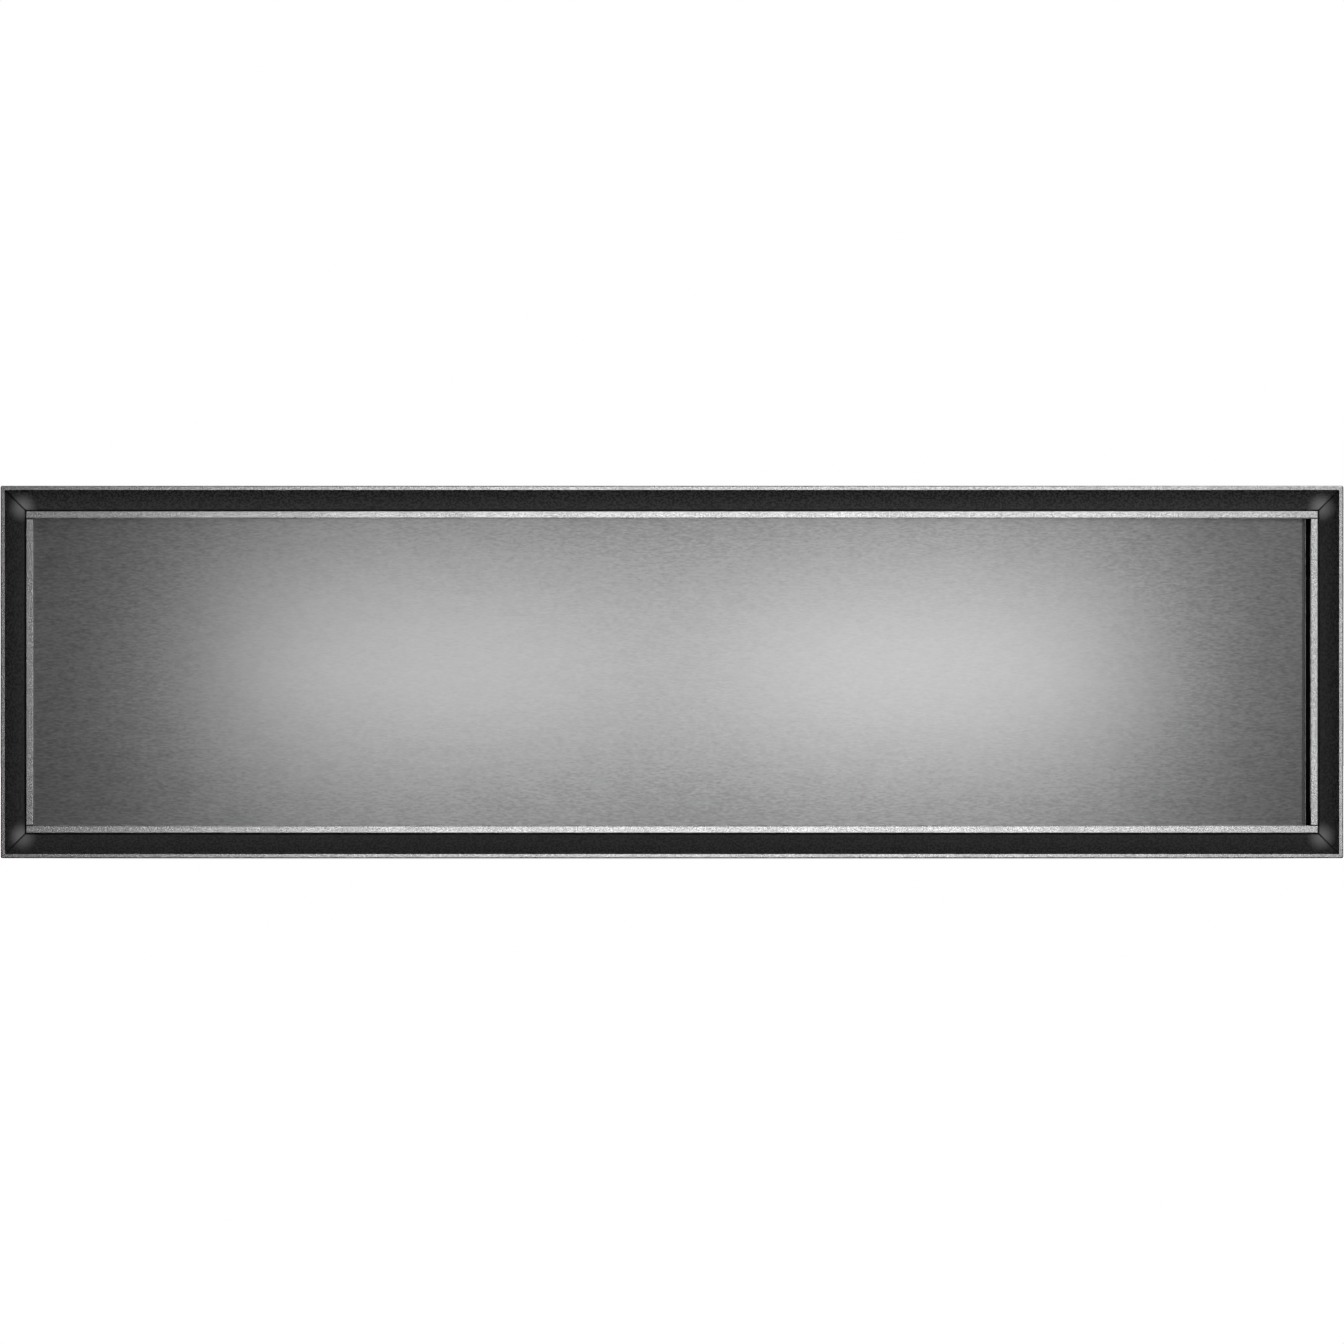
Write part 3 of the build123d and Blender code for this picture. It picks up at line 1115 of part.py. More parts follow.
pin_y = TRAY_REAR + LATCH_PIN_OUT
pivot_y = pin_y + HOOK_REACH
ear_inner = STRIKER_GAP / 2
ear_outer = ear_inner + STRIKER_EAR
with BuildPart() as latch_striker:
    with BuildSketch(Plane.XY.offset(LATCH_Z - STRIKER_HEIGHT / 2)):
        span(LATCH_X - ear_outer, LATCH_X + ear_outer, TRAY_REAR, TRAY_REAR + STRIKER_EAR)
        for sx in (-1, 1):
            ear_x = LATCH_X + sx * ear_inner
            span(ear_x, ear_x + sx * STRIKER_EAR, TRAY_REAR, pin_y + 2 * LATCH_PIN_RADIUS)
    extrude(amount=STRIKER_HEIGHT)
    with BuildSketch(Plane.YZ.offset(LATCH_X)):
        with Locations((pin_y, LATCH_Z)):
            Circle(LATCH_PIN_RADIUS)
    extrude(amount=ear_outer, both=True)
write(latch_striker.part, "latch_striker")

cheek_inner = HOOK_THICKNESS / 2 + HOOK_CLEARANCE
cheek_outer = cheek_inner + LATCH_PLATE
with BuildPart() as latch_housing:
    with BuildSketch(front(REAR_FACE)):
        with Locations((LATCH_X, LATCH_Z)):
            RectangleRounded(LATCH_BASE_WIDTH, LATCH_BASE_HEIGHT, LATCH_BASE_CORNER)
            with GridLocations(LATCH_BASE_WIDTH - 3 * LATCH_BASE_CORNER, 0, 2, 1):
                Circle(SCREW_HOLE_RADIUS, mode=Mode.SUBTRACT)
    extrude(amount=LATCH_PLATE)
    for sx in (-1, 1):
        with BuildSketch(Plane.YZ.offset(LATCH_X + sx * cheek_inner)):
            span(pivot_y, REAR_FACE, LATCH_Z - LATCH_CHEEK, LATCH_Z + LATCH_CHEEK)
            with Locations((pivot_y, LATCH_Z)):
                Circle(LATCH_CHEEK)
        extrude(amount=sx * LATCH_PLATE)
    with BuildSketch(Plane.YZ.offset(LATCH_X)):
        with Locations((pivot_y, LATCH_Z)):
            Circle(PIVOT_RADIUS)
    extrude(amount=cheek_outer, both=True)
write(latch_housing.part, "latch_housing")

# The hook is drawn as it sits when it holds the pin, on a plane tilted to where it lets the pin go
tilt = math.radians(HOOK_RELEASED)
hook_plane = Plane(
    origin=(LATCH_X, pivot_y, LATCH_Z), x_dir=(0, math.cos(tilt), -math.sin(tilt)), z_dir=(1, 0, 0)
)
claw_rear = -HOOK_REACH - LATCH_PIN_RADIUS - HOOK_CLEARANCE
claw_front = claw_rear - CLAW_LENGTH
arm_under = LATCH_PIN_RADIUS + HOOK_CLEARANCE
with BuildPart() as latch_hook:
    with BuildSketch(hook_plane):
        with BuildLine():
            Polyline(
                (0, arm_under + HOOK_ARM),
                (claw_front, arm_under + HOOK_ARM),
                (claw_front, arm_under),
                (claw_rear - CLAW_LENGTH / 3, arm_under - CLAW_DROP),
                (claw_rear, arm_under - CLAW_DROP),
                (claw_rear, arm_under),
                (0, arm_under),
                close=True,
            )
        make_face()
        Circle(PIVOT_BOSS)
        span(-PIVOT_BOSS, PIVOT_BOSS, 0, arm_under + HOOK_ARM)
        Circle(PIVOT_RADIUS + PIVOT_CLEARANCE, mode=Mode.SUBTRACT)
    extrude(amount=HOOK_THICKNESS / 2, both=True)
write(latch_hook.part, "latch_hook")

# Mains connection

with BuildPart() as terminal_box:
    with Locations((GLAND_X, REAR_FACE, GLAND_Z)):
        Box(*TERMINAL_SIZE, align=(Align.CENTER, Align.MAX, Align.CENTER))
    fillet(terminal_box.edges().filter_by(Axis.Y), TERMINAL_CORNER)
    offset(amount=-TERMINAL_WALL, openings=terminal_box.faces().sort_by(Axis.Y)[-1])
write(terminal_box.part, "terminal_box")

with BuildPart() as cable_gland:
    with BuildSketch(front(HOUSING_DEPTH + GLAND_OUT)):
        with Locations((GLAND_X, GLAND_Z)):
            Circle(GLAND_BODY)
    extrude(amount=GLAND_OUT + SHEET + GLAND_IN)
    fillet(cable_gland.faces().sort_by(Axis.Y)[-1].edges(), GLAND_EDGE)
    with BuildSketch(front(HOUSING_DEPTH + GLAND_FLANGE_THICKNESS)):
        with Locations((GLAND_X, GLAND_Z)):
            RegularPolygon(GLAND_FLANGE, 6)
    extrude(amount=GLAND_FLANGE_THICKNESS)
    with BuildSketch(front(HOUSING_DEPTH + GLAND_OUT)):
        with Locations((GLAND_X, GLAND_Z)):
            Circle(GLAND_BORE)
    extrude(amount=GLAND_OUT + SHEET + GLAND_IN, mode=Mode.SUBTRACT)
write(cable_gland.part, "cable_gland")
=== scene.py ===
"""The warming drawer in a white studio: finishes for the CAD pieces, printed marks, lights and the camera."""

import math

import bpy
from mathutils import Matrix, Vector


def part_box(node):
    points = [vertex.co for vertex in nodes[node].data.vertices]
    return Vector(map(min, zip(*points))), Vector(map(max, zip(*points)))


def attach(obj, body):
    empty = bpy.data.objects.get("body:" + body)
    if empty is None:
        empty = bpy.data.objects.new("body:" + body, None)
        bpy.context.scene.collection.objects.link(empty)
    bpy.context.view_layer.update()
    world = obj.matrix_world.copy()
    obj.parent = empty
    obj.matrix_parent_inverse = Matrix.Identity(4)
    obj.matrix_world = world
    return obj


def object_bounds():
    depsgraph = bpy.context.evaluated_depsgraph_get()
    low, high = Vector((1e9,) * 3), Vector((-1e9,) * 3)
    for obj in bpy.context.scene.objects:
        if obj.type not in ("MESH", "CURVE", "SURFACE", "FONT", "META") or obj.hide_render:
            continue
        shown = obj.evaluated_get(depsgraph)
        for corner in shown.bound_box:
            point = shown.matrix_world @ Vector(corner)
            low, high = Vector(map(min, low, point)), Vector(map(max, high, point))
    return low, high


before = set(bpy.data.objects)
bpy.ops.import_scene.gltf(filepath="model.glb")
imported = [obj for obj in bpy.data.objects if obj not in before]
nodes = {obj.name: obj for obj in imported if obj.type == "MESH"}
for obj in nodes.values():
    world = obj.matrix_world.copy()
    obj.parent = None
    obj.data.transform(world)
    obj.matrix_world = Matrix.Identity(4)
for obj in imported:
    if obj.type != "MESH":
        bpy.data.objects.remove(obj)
cad_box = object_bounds()

FRONT_FACE = cad_box[0][1]
MIDDLE = (cad_box[0][2] + cad_box[1][2]) / 2
HALF_WIDTH = cad_box[1][0]
HALF_HEIGHT = cad_box[1][2] - MIDDLE


# Node helpers


def even(value):
    """One number for all three parts of a grey, or for all three axes of a scale."""
    return (value, value, value)


def shade(colour, factor):
    """A lighter or darker copy of a colour."""
    return tuple(min(1.0, part * factor) for part in colour)


def start_material(name):
    """A new node material, with its tree and its main shader."""
    made = bpy.data.materials.new(name)
    made.use_nodes = True
    return made, made.node_tree, made.node_tree.nodes["Principled BSDF"]


def object_coords(tree, scale=(1, 1, 1)):
    """The piece's own coordinates in metres, stretched by scale."""
    source = tree.nodes.new("ShaderNodeTexCoord")
    stretch = tree.nodes.new("ShaderNodeMapping")
    stretch.inputs["Scale"].default_value = scale
    tree.links.new(source.outputs["Object"], stretch.inputs["Vector"])
    return stretch.outputs["Vector"]


def along(tree, axis):
    """The piece's own coordinate along one axis, in metres."""
    parts = tree.nodes.new("ShaderNodeSeparateXYZ")
    tree.links.new(object_coords(tree), parts.inputs["Vector"])
    return parts.outputs[axis]


def noise(tree, scale, detail=3.0, roughness=0.5):
    """Cloudy noise between 0 and 1, as fine as scale says along X, Y and Z."""
    made = tree.nodes.new("ShaderNodeTexNoise")
    made.inputs["Scale"].default_value = 1.0
    made.inputs["Detail"].default_value = detail
    made.inputs["Roughness"].default_value = roughness
    tree.links.new(object_coords(tree, scale), made.inputs["Vector"])
    return made.outputs["Fac"]


def cells(tree, scale):
    """A random shade for each crystal-like cell."""
    made = tree.nodes.new("ShaderNodeTexVoronoi")
    made.inputs["Scale"].default_value = 1.0
    tree.links.new(object_coords(tree, scale), made.inputs["Vector"])
    split = tree.nodes.new("ShaderNodeSeparateColor")
    tree.links.new(made.outputs["Color"], split.inputs["Color"])
    return split.outputs["Red"]


def lines(tree, scale, direction):
    """Fine even lines across one direction."""
    made = tree.nodes.new("ShaderNodeTexWave")
    made.bands_direction = direction
    made.inputs["Scale"].default_value = scale
    tree.links.new(object_coords(tree), made.inputs["Vector"])
    return made.outputs["Fac"]


def vector_math(tree, operation, vector, fixed=(0, 0, 0)):
    """The outputs of a vector operation on a vector and a fixed one."""
    made = tree.nodes.new("ShaderNodeVectorMath")
    made.operation = operation
    tree.links.new(vector, made.inputs[0])
    made.inputs[1].default_value = fixed
    return made.outputs


def blend_values(tree, first, second, share):
    """A mix of two values, with a fixed share of the second."""
    made = tree.nodes.new("ShaderNodeMix")
    made.inputs["Factor"].default_value = share
    tree.links.new(first, made.inputs["A"])
    tree.links.new(second, made.inputs["B"])
    return made.outputs["Result"]


def remap(tree, value, low, high, start=0.3, end=0.7, ease="LINEAR"):
    """A value between start and end, carried over to between low and high."""
    made = tree.nodes.new("ShaderNodeMapRange")
    made.interpolation_type = ease
    made.inputs["From Min"].default_value = start
    made.inputs["From Max"].default_value = end
    made.inputs["To Min"].default_value = low
    made.inputs["To Max"].default_value = high
    tree.links.new(value, made.inputs["Value"])
    return made.outputs["Result"]


def colour_between(tree, value, first, second):
    """A colour that runs from the first to the second with the value. Each is fixed or comes from a node."""
    made = tree.nodes.new("ShaderNodeMix")
    made.data_type = "RGBA"
    tree.links.new(value, made.inputs["Factor"])
    for socket, colour in ((made.inputs["A"], first), (made.inputs["B"], second)):
        if isinstance(colour, tuple):
            socket.default_value = (*colour, 1)
        else:
            tree.links.new(colour, socket)
    return made.outputs["Result"]


def set_colour(tree, shader, value, dark, light):
    """A base colour that runs from dark to light with the value."""
    tree.links.new(colour_between(tree, value, dark, light), shader.inputs["Base Color"])


def set_roughness(tree, shader, value, low, high, start=0.3, end=0.7):
    """A roughness that runs from low to high with the value."""
    tree.links.new(remap(tree, value, low, high, start, end), shader.inputs["Roughness"])


def add_bump(tree, shader, height, strength, distance):
    """Fine relief from a height between 0 and 1."""
    made = tree.nodes.new("ShaderNodeBump")
    made.inputs["Strength"].default_value = strength
    made.inputs["Distance"].default_value = distance
    tree.links.new(height, made.inputs["Height"])
    tree.links.new(made.outputs["Normal"], shader.inputs["Normal"])


# Finishes

BROAD_LINES = 6  # how much broader the second set of brush lines is than the first
BROAD_SHARE = 0.12  # and how much it counts
QUARTER_TURN = 0.25
BRUSHING_DEPTH = 0.00002
BLASTING_DEPTH = 0.00004
LACQUER_DEPTH = 0.00003
ZINC_DEPTH = 0.00005
MOULD_DEPTH = 0.00005
LAYER_DEPTH = 0.0002
FIBRE_DEPTH = 0.0004
SCALE_DEPTH = 0.00003
GLASS_IOR = 1.5
LENS_IOR = 1.49


def brushed_steel(name, colour, roughness, grain, contrast, spread, relief, across=0.0, metallic=1.0):
    """Steel with brush lines, as fine as grain says along X, Y and Z.

    contrast and spread say how much the lines differ in colour and in roughness, relief how deep they are,
    and across how much more the light spreads across the lines than along them.
    """
    made, tree, shader = start_material(name)
    fine = noise(tree, grain, detail=4.0, roughness=0.6)
    broad = noise(tree, tuple(part / BROAD_LINES for part in grain), detail=2.0)
    brushing = blend_values(tree, fine, broad, BROAD_SHARE)
    shift = remap(tree, brushing, 0.0, 1.0)
    set_colour(tree, shader, shift, shade(colour, 1 - contrast), shade(colour, 1 + contrast))
    set_roughness(tree, shader, brushing, roughness - spread, roughness + spread)
    add_bump(tree, shader, fine, relief, BRUSHING_DEPTH)
    shader.inputs["Anisotropic"].default_value = across
    shader.inputs["Anisotropic Rotation"].default_value = QUARTER_TURN
    shader.inputs["Metallic"].default_value = metallic
    return made


def blasted_steel(name, colour, roughness, contrast, metallic):
    """Bead-blasted steel: an even, fine speckle with no direction."""
    made, tree, shader = start_material(name)
    fine = noise(tree, even(1700), detail=1.0)
    cloud = noise(tree, even(60))
    speckle = remap(tree, fine, 0.0, 1.0, start=0.38, end=0.62)
    set_colour(tree, shader, speckle, shade(colour, 1 - contrast), shade(colour, 1 + contrast))
    set_roughness(tree, shader, cloud, roughness - 0.03, roughness + 0.03)
    add_bump(tree, shader, fine, strength=0.15, distance=BLASTING_DEPTH)
    shader.inputs["Metallic"].default_value = metallic
    return made


def folded_place(tree):
    """A point's place seen from the front, with the other quarters folded onto the upper right one."""
    flat = object_coords(tree, (1, 0, 1))
    centred = vector_math(tree, "SUBTRACT", flat, (0, 0, MIDDLE))["Vector"]
    return vector_math(tree, "ABSOLUTE", centred)["Vector"]


def distance_to_mitre(tree, place, point):
    """How far a place is from the mitre through a fixed point, which runs at 45 degrees."""
    way = vector_math(tree, "SUBTRACT", place, point)["Vector"]
    across = vector_math(tree, "DOT_PRODUCT", way, (math.sqrt(0.5), 0, -math.sqrt(0.5)))["Value"]
    made = tree.nodes.new("ShaderNodeMath")
    made.operation = "ABSOLUTE"
    tree.links.new(across, made.inputs[0])
    return made.outputs["Value"]


# The liner's painted shade fades between these depths: darkest at the front, next to the band, lighter
# towards the back
SLOPE = (FRONT_FACE + 0.0008, FRONT_FACE + 0.0095)  # depths of the liner's outer and inner edges
# The painted highlight near the inner end of each mitre: where it sits and how far it spreads
HIGHLIGHT_INSET = 0.0098
MITRE_HIGHLIGHT = (HALF_WIDTH - HIGHLIGHT_INSET, 0, HALF_HEIGHT - HIGHLIGHT_INSET)
HIGHLIGHT_RADIUS = 0.0074
# Painted shade along each mitre seam
SEAM = (0.00010, 0.0005)  # half widths of the seam's dark core and of its soft edge


def dark_lacquer(name, colour, roughness, shine, highlight_factor):
    """Dark baked lacquer with a fine speckle, and painted shade along each mitre seam.

    It is painted darker towards the front of the slope and lighter towards the back, as painted shade, and
    carries a painted highlight near the inner end of each mitre, as strong as the last factor says.
    """
    made, tree, shader = start_material(name)
    fine = noise(tree, even(1000), detail=1.0)
    cloud = noise(tree, even(40), detail=4.0, roughness=0.6)
    # Painted shade: darker towards the front of the slope, lighter towards the back
    slope_shade = remap(tree, along(tree, "Y"), 0.0, 1.0, *SLOPE)
    speckle = remap(tree, fine, 0.0, 1.0, start=0.43, end=0.57)
    shift = blend_values(tree, slope_shade, speckle, share=0.50)
    lacquer = colour_between(tree, shift, shade(colour, 0.1), shade(colour, 2.0))
    place = folded_place(tree)
    # A painted highlight near the inner end of each mitre, in place of a reflection
    away = vector_math(tree, "DISTANCE", place, MITRE_HIGHLIGHT)["Value"]
    highlight_mask = remap(tree, away, 1.0, 0.0, start=0.0, end=HIGHLIGHT_RADIUS, ease="SMOOTHSTEP")
    lacquer_and_highlight = colour_between(tree, highlight_mask, lacquer, shade(colour, highlight_factor))
    # Painted shade along the mitre seam
    beside_seam = remap(tree, distance_to_mitre(tree, place, MITRE_HIGHLIGHT), 0.0, 1.0, *SEAM)
    set_colour(tree, shader, beside_seam, shade(colour, 0.2), lacquer_and_highlight)
    shader.inputs["Specular IOR Level"].default_value = shine
    set_roughness(tree, shader, cloud, roughness - 0.04, roughness + 0.04)
    add_bump(tree, shader, fine, strength=0.15, distance=LACQUER_DEPTH)
    return made


def galvanised(name, colour):
    """Zinc-coated sheet with a crystal spangle."""
    made, tree, shader = start_material(name)
    spangle = cells(tree, even(125))
    fine = noise(tree, even(420), roughness=0.6)
    zinc = blend_values(tree, spangle, fine, share=0.45)
    shift = remap(tree, zinc, 0.0, 1.0, start=0.15, end=0.85)
    set_colour(tree, shader, shift, shade(colour, 0.86), shade(colour, 1.09))
    set_roughness(tree, shader, zinc, 0.39, 0.48, start=0.15, end=0.85)
    add_bump(tree, shader, fine, strength=0.12, distance=ZINC_DEPTH)
    shader.inputs["Metallic"].default_value = 0.9
    return made


def moulded_plastic(name, colour, roughness, relief, shine=0.5):
    """Moulded plastic with a fine spark-eroded grain."""
    made, tree, shader = start_material(name)
    fine = noise(tree, even(1600), detail=2.0, roughness=0.6)
    cloud = noise(tree, even(70))
    shift = remap(tree, cloud, 0.0, 1.0)
    set_colour(tree, shader, shift, shade(colour, 0.9), shade(colour, 1.1))
    set_roughness(tree, shader, cloud, roughness - 0.05, roughness + 0.05)
    add_bump(tree, shader, fine, relief, MOULD_DEPTH)
    shader.inputs["Specular IOR Level"].default_value = shine
    return made


def tinted_glass(name, colour):
    """Dark toughened glass that light still passes through."""
    made, tree, shader = start_material(name)
    cloud = noise(tree, even(30), detail=2.0)
    shift = remap(tree, cloud, 0.0, 1.0)
    set_colour(tree, shader, shift, shade(colour, 0.95), shade(colour, 1.05))
    set_roughness(tree, shader, cloud, 0.03, 0.06)
    shader.inputs["Transmission Weight"].default_value = 0.85
    shader.inputs["IOR"].default_value = GLASS_IOR
    return made


def lined_metal(name, colour, roughness, scale, direction, metallic):
    """Metal laid up in fine even layers or turns."""
    made, tree, shader = start_material(name)
    layer = lines(tree, scale, direction)
    cloud = noise(tree, even(200), roughness=0.6)
    mixed = blend_values(tree, layer, cloud, share=0.4)
    shift = remap(tree, mixed, 0.0, 1.0, start=0.2, end=0.8)
    set_colour(tree, shader, shift, shade(colour, 0.7), shade(colour, 1.2))
    set_roughness(tree, shader, cloud, roughness - 0.06, roughness + 0.06)
    add_bump(tree, shader, layer, strength=0.35, distance=LAYER_DEPTH)
    shader.inputs["Metallic"].default_value = metallic
    return made


def pressed_fibre(name, colour):
    """Pressed mineral fibre: a soft, matted surface."""
    made, tree, shader = start_material(name)
    matted = noise(tree, even(350), detail=6.0, roughness=0.7)
    cloud = noise(tree, even(25))
    mixed = blend_values(tree, matted, cloud, share=0.4)
    shift = remap(tree, mixed, 0.0, 1.0)
    set_colour(tree, shader, shift, shade(colour, 0.82), shade(colour, 1.1))
    shader.inputs["Roughness"].default_value = 0.95
    add_bump(tree, shader, matted, strength=0.5, distance=FIBRE_DEPTH)
    return made


def heat_tinted(name, violet, straw):
    """A steel tube that heat has coloured in slow clouds between two tints."""
    made, tree, shader = start_material(name)
    cloud = noise(tree, even(18))
    fine = noise(tree, even(900), roughness=0.6)
    set_colour(tree, shader, remap(tree, cloud, 0.0, 1.0), violet, straw)
    set_roughness(tree, shader, fine, 0.34, 0.5)
    add_bump(tree, shader, fine, strength=0.15, distance=SCALE_DEPTH)
    shader.inputs["Metallic"].default_value = 1.0
    return made


def clear_plastic(name, deep, pale):
    """Clear coloured plastic, uneven between a deep and a pale tint."""
    made, tree, shader = start_material(name)
    cloud = noise(tree, even(300), detail=2.0)
    set_colour(tree, shader, remap(tree, cloud, 0.0, 1.0), deep, pale)
    set_roughness(tree, shader, cloud, 0.08, 0.16)
    shader.inputs["Transmission Weight"].default_value = 0.6
    shader.inputs["IOR"].default_value = LENS_IOR
    return made


def dress(made, *names):
    """Gives one finish to the named CAD pieces."""
    for name in names:
        slots = nodes[name].data.materials
        slots.clear()
        slots.append(made)


def both(*names):
    """The left and the right piece of each pair."""
    return [f"{name}_{side}" for name in names for side in ("left", "right")]


FRONT_GRAIN = (430, 1700, 1700)  # lines along X
DEPTH_GRAIN = (1300, 170, 1300)  # lines along Y
TURNED_GRAIN = (900, 900, 300)  # lines round Z

# The front
panel_brushed = brushed_steel(
    "panel_brushed",
    even(0.62),
    roughness=0.204,
    grain=FRONT_GRAIN,
    contrast=0.29,
    spread=0.040,
    relief=0.0,
    across=0.19,
    metallic=0.70,
)
dress(panel_brushed, "front_panel")
rim_blasted = blasted_steel("rim_blasted", even(0.47), roughness=0.26, contrast=0.22, metallic=0.85)
dress(rim_blasted, "rim_top", "rim_bottom", *both("rim"))
band_blasted = blasted_steel("band_blasted", even(0.44), roughness=0.26, contrast=0.20, metallic=0.85)
dress(band_blasted, "frame_band")
# A near-black strip in the groove at the panel's right end: painted shadow, a dark sheet standing in for the
# shade the rim casts on the panel there
groove_shadow_black = moulded_plastic("groove_shadow_black", even(0.004), roughness=0.80, relief=0.20, shine=0.08)
dress(groove_shadow_black, "groove_strip")

# Lit and shaded copies of one lacquer, as painted light and shade: the same lacquer is made darker where more
# light falls on it and lighter where less does, and the top copy has a weaker painted highlight at the mitres
upward = dark_lacquer("liner_upward", even(0.022), roughness=0.36, shine=0.14, highlight_factor=11)
dress(upward, "liner_bottom")
sideways = dark_lacquer("liner_sideways", even(0.035), roughness=0.36, shine=0.32, highlight_factor=11)
dress(sideways, *both("liner"))
downward = dark_lacquer("liner_downward", even(0.080), roughness=0.42, shine=0.32, highlight_factor=7.5)
dress(downward, "liner_top")

# The housing and the runners
dress(
    galvanised("zinc_sheet", (0.60, 0.62, 0.63)),
    "base_plate",
    "top_cover",
    "rear_panel",
    "frame_corner_keys",
    "fan_housing",
    *both("side_wall"),
)
runner_zinc = brushed_steel(
    "runner_zinc",
    (0.66, 0.67, 0.69),
    roughness=0.32,
    grain=DEPTH_GRAIN,
    contrast=0.05,
    spread=0.05,
    relief=0.08,
)
dress(runner_zinc, *both("runner_outer", "runner_middle", "runner_inner"))
cage_sheet = brushed_steel(
    "cage_sheet",
    (0.45, 0.46, 0.47),
    roughness=0.42,
    grain=DEPTH_GRAIN,
    contrast=0.07,
    spread=0.06,
    relief=0.10,
)
dress(cage_sheet, *both("ball_cage_outer", "ball_cage_inner"))
ball_polish = brushed_steel(
    "ball_polish",
    (0.74, 0.74, 0.76),
    roughness=0.10,
    grain=even(600),
    contrast=0.03,
    spread=0.03,
    relief=0.02,
)
dress(ball_polish, *both("balls_outer", "balls_inner"))
plated_steel = brushed_steel(
    "plated_steel",
    (0.56, 0.57, 0.60),
    roughness=0.30,
    grain=even(700),
    contrast=0.08,
    spread=0.06,
    relief=0.10,
)
dress(
    plated_steel,
    "housing_screws",
    "runner_rivets",
    "thermostat_spindle",
    "fan_shaft",
    "latch_striker",
    "latch_hook",
)

# The tray and what is in it
tray_satin = brushed_steel(
    "tray_satin",
    (0.64, 0.64, 0.63),
    roughness=0.36,
    grain=FRONT_GRAIN,
    contrast=0.04,
    spread=0.03,
    relief=0.10,
)
dress(tray_satin, "drawer_tray", "glass_rails", "fan_cover")
console_brushed = brushed_steel(
    "console_brushed",
    even(0.60),
    roughness=0.34,
    grain=FRONT_GRAIN,
    contrast=0.04,
    spread=0.03,
    relief=0.10,
)
dress(console_brushed, "control_console")
clip_spring = brushed_steel(
    "clip_spring",
    even(0.62),
    roughness=0.30,
    grain=even(800),
    contrast=0.05,
    spread=0.05,
    relief=0.10,
)
dress(clip_spring, "heater_clips")
turned_alloy = brushed_steel(
    "turned_alloy",
    (0.70, 0.70, 0.71),
    roughness=0.28,
    grain=TURNED_GRAIN,
    contrast=0.06,
    spread=0.05,
    relief=0.10,
)
dress(turned_alloy, "temperature_limiter", "fan_impeller")
dress(heat_tinted("heater_tint", (0.25, 0.20, 0.19), (0.44, 0.37, 0.27)), "heater_element")
dress(pressed_fibre("board_fibre", (0.72, 0.70, 0.64)), "insulation_board")
dress(tinted_glass("plate_glass", (0.24, 0.27, 0.27)), "glass_plate")
stator_stack = lined_metal(
    "stator_stack", (0.27, 0.28, 0.30), roughness=0.45, scale=500, direction="Y", metallic=0.8
)
dress(stator_stack, "fan_motor")
coil_copper = lined_metal(
    "coil_copper", (0.55, 0.26, 0.12), roughness=0.35, scale=420, direction="X", metallic=0.9
)
dress(coil_copper, "fan_coil")

# Plastic and rubber
buffer_rubber = moulded_plastic("buffer_rubber", (0.035, 0.035, 0.036), roughness=0.85, relief=0.35)
dress(buffer_rubber, "front_buffers")
carrier_board = moulded_plastic("carrier_board", even(0.05), roughness=0.70, relief=0.30)
dress(carrier_board, "front_carrier")
control_plastic = moulded_plastic("control_plastic", (0.045, 0.045, 0.047), roughness=0.50, relief=0.30)
dress(control_plastic, "thermostat", "switch_body", "terminal_box")
latch_plastic = moulded_plastic("latch_plastic", (0.14, 0.14, 0.15), roughness=0.55, relief=0.30)
dress(latch_plastic, "latch_housing")
gland_plastic = moulded_plastic("gland_plastic", even(0.05), roughness=0.48, relief=0.25)
dress(gland_plastic, "cable_gland")
knob_plastic = moulded_plastic("knob_plastic", (0.055, 0.055, 0.057), roughness=0.38, relief=0.15)
dress(knob_plastic, "temperature_knob")
button_silver = moulded_plastic("button_silver", (0.50, 0.50, 0.51), roughness=0.30, relief=0.10)
dress(button_silver, "power_button")
dress(clear_plastic("lens_orange", (0.62, 0.13, 0.02), (0.78, 0.22, 0.05)), "indicator_lens")

# Printed marks and small fittings


def prism(outline, low, high, turn):
    """A solid drawn up from a flat outline, then turned into place."""
    count = len(outline)
    points = [turn @ Vector((x, y, z)) for z in (low, high) for x, y in outline]
    sides = [(i, (i + 1) % count, count + (i + 1) % count, count + i) for i in range(count)]
    return points, [tuple(reversed(range(count))), tuple(range(count, 2 * count)), *sides]


def bands(outer, inner, low, high, turn):
    """The strip between two outlines of as many points, as a chain of short solids."""
    pairs = list(zip(outer, inner))
    return [prism([a, b, d, c], low, high, turn) for (a, c), (b, d) in zip(pairs, pairs[1:])]


def dome(radius, height, turn, steps=28):
    """A screw or rivet head with a rounded edge."""
    rings = [(radius, 0), (radius, 0.4 * height), (0.93 * radius, 0.72 * height), (0.7 * radius, height)]
    points = []
    for reach, rise in rings:
        for i in range(steps):
            angle = 2 * math.pi * i / steps
            points.append(turn @ Vector((reach * math.cos(angle), reach * math.sin(angle), rise)))
    faces = [tuple(range((len(rings) - 1) * steps, len(rings) * steps)), tuple(reversed(range(steps)))]
    for ring in range(len(rings) - 1):
        for i in range(steps):
            a = ring * steps + i
            b = ring * steps + (i + 1) % steps
            faces.append((a, b, b + steps, a + steps))
    return points, faces


def arc(radius, start, end, steps=40):
    """Points on an arc, from one angle in degrees to another."""
    angles = [math.radians(start + (end - start) * i / steps) for i in range(steps + 1)]
    return [(radius * math.cos(angle), radius * math.sin(angle)) for angle in angles]


def rounded_bar(length, width):
    """The outline of a bar along Y with round ends."""
    tip = arc(width / 2, 0, 180, 8)
    rise = (length - width) / 2
    return [(x, y + rise) for x, y in tip] + [(-x, -y - rise) for x, y in tip]


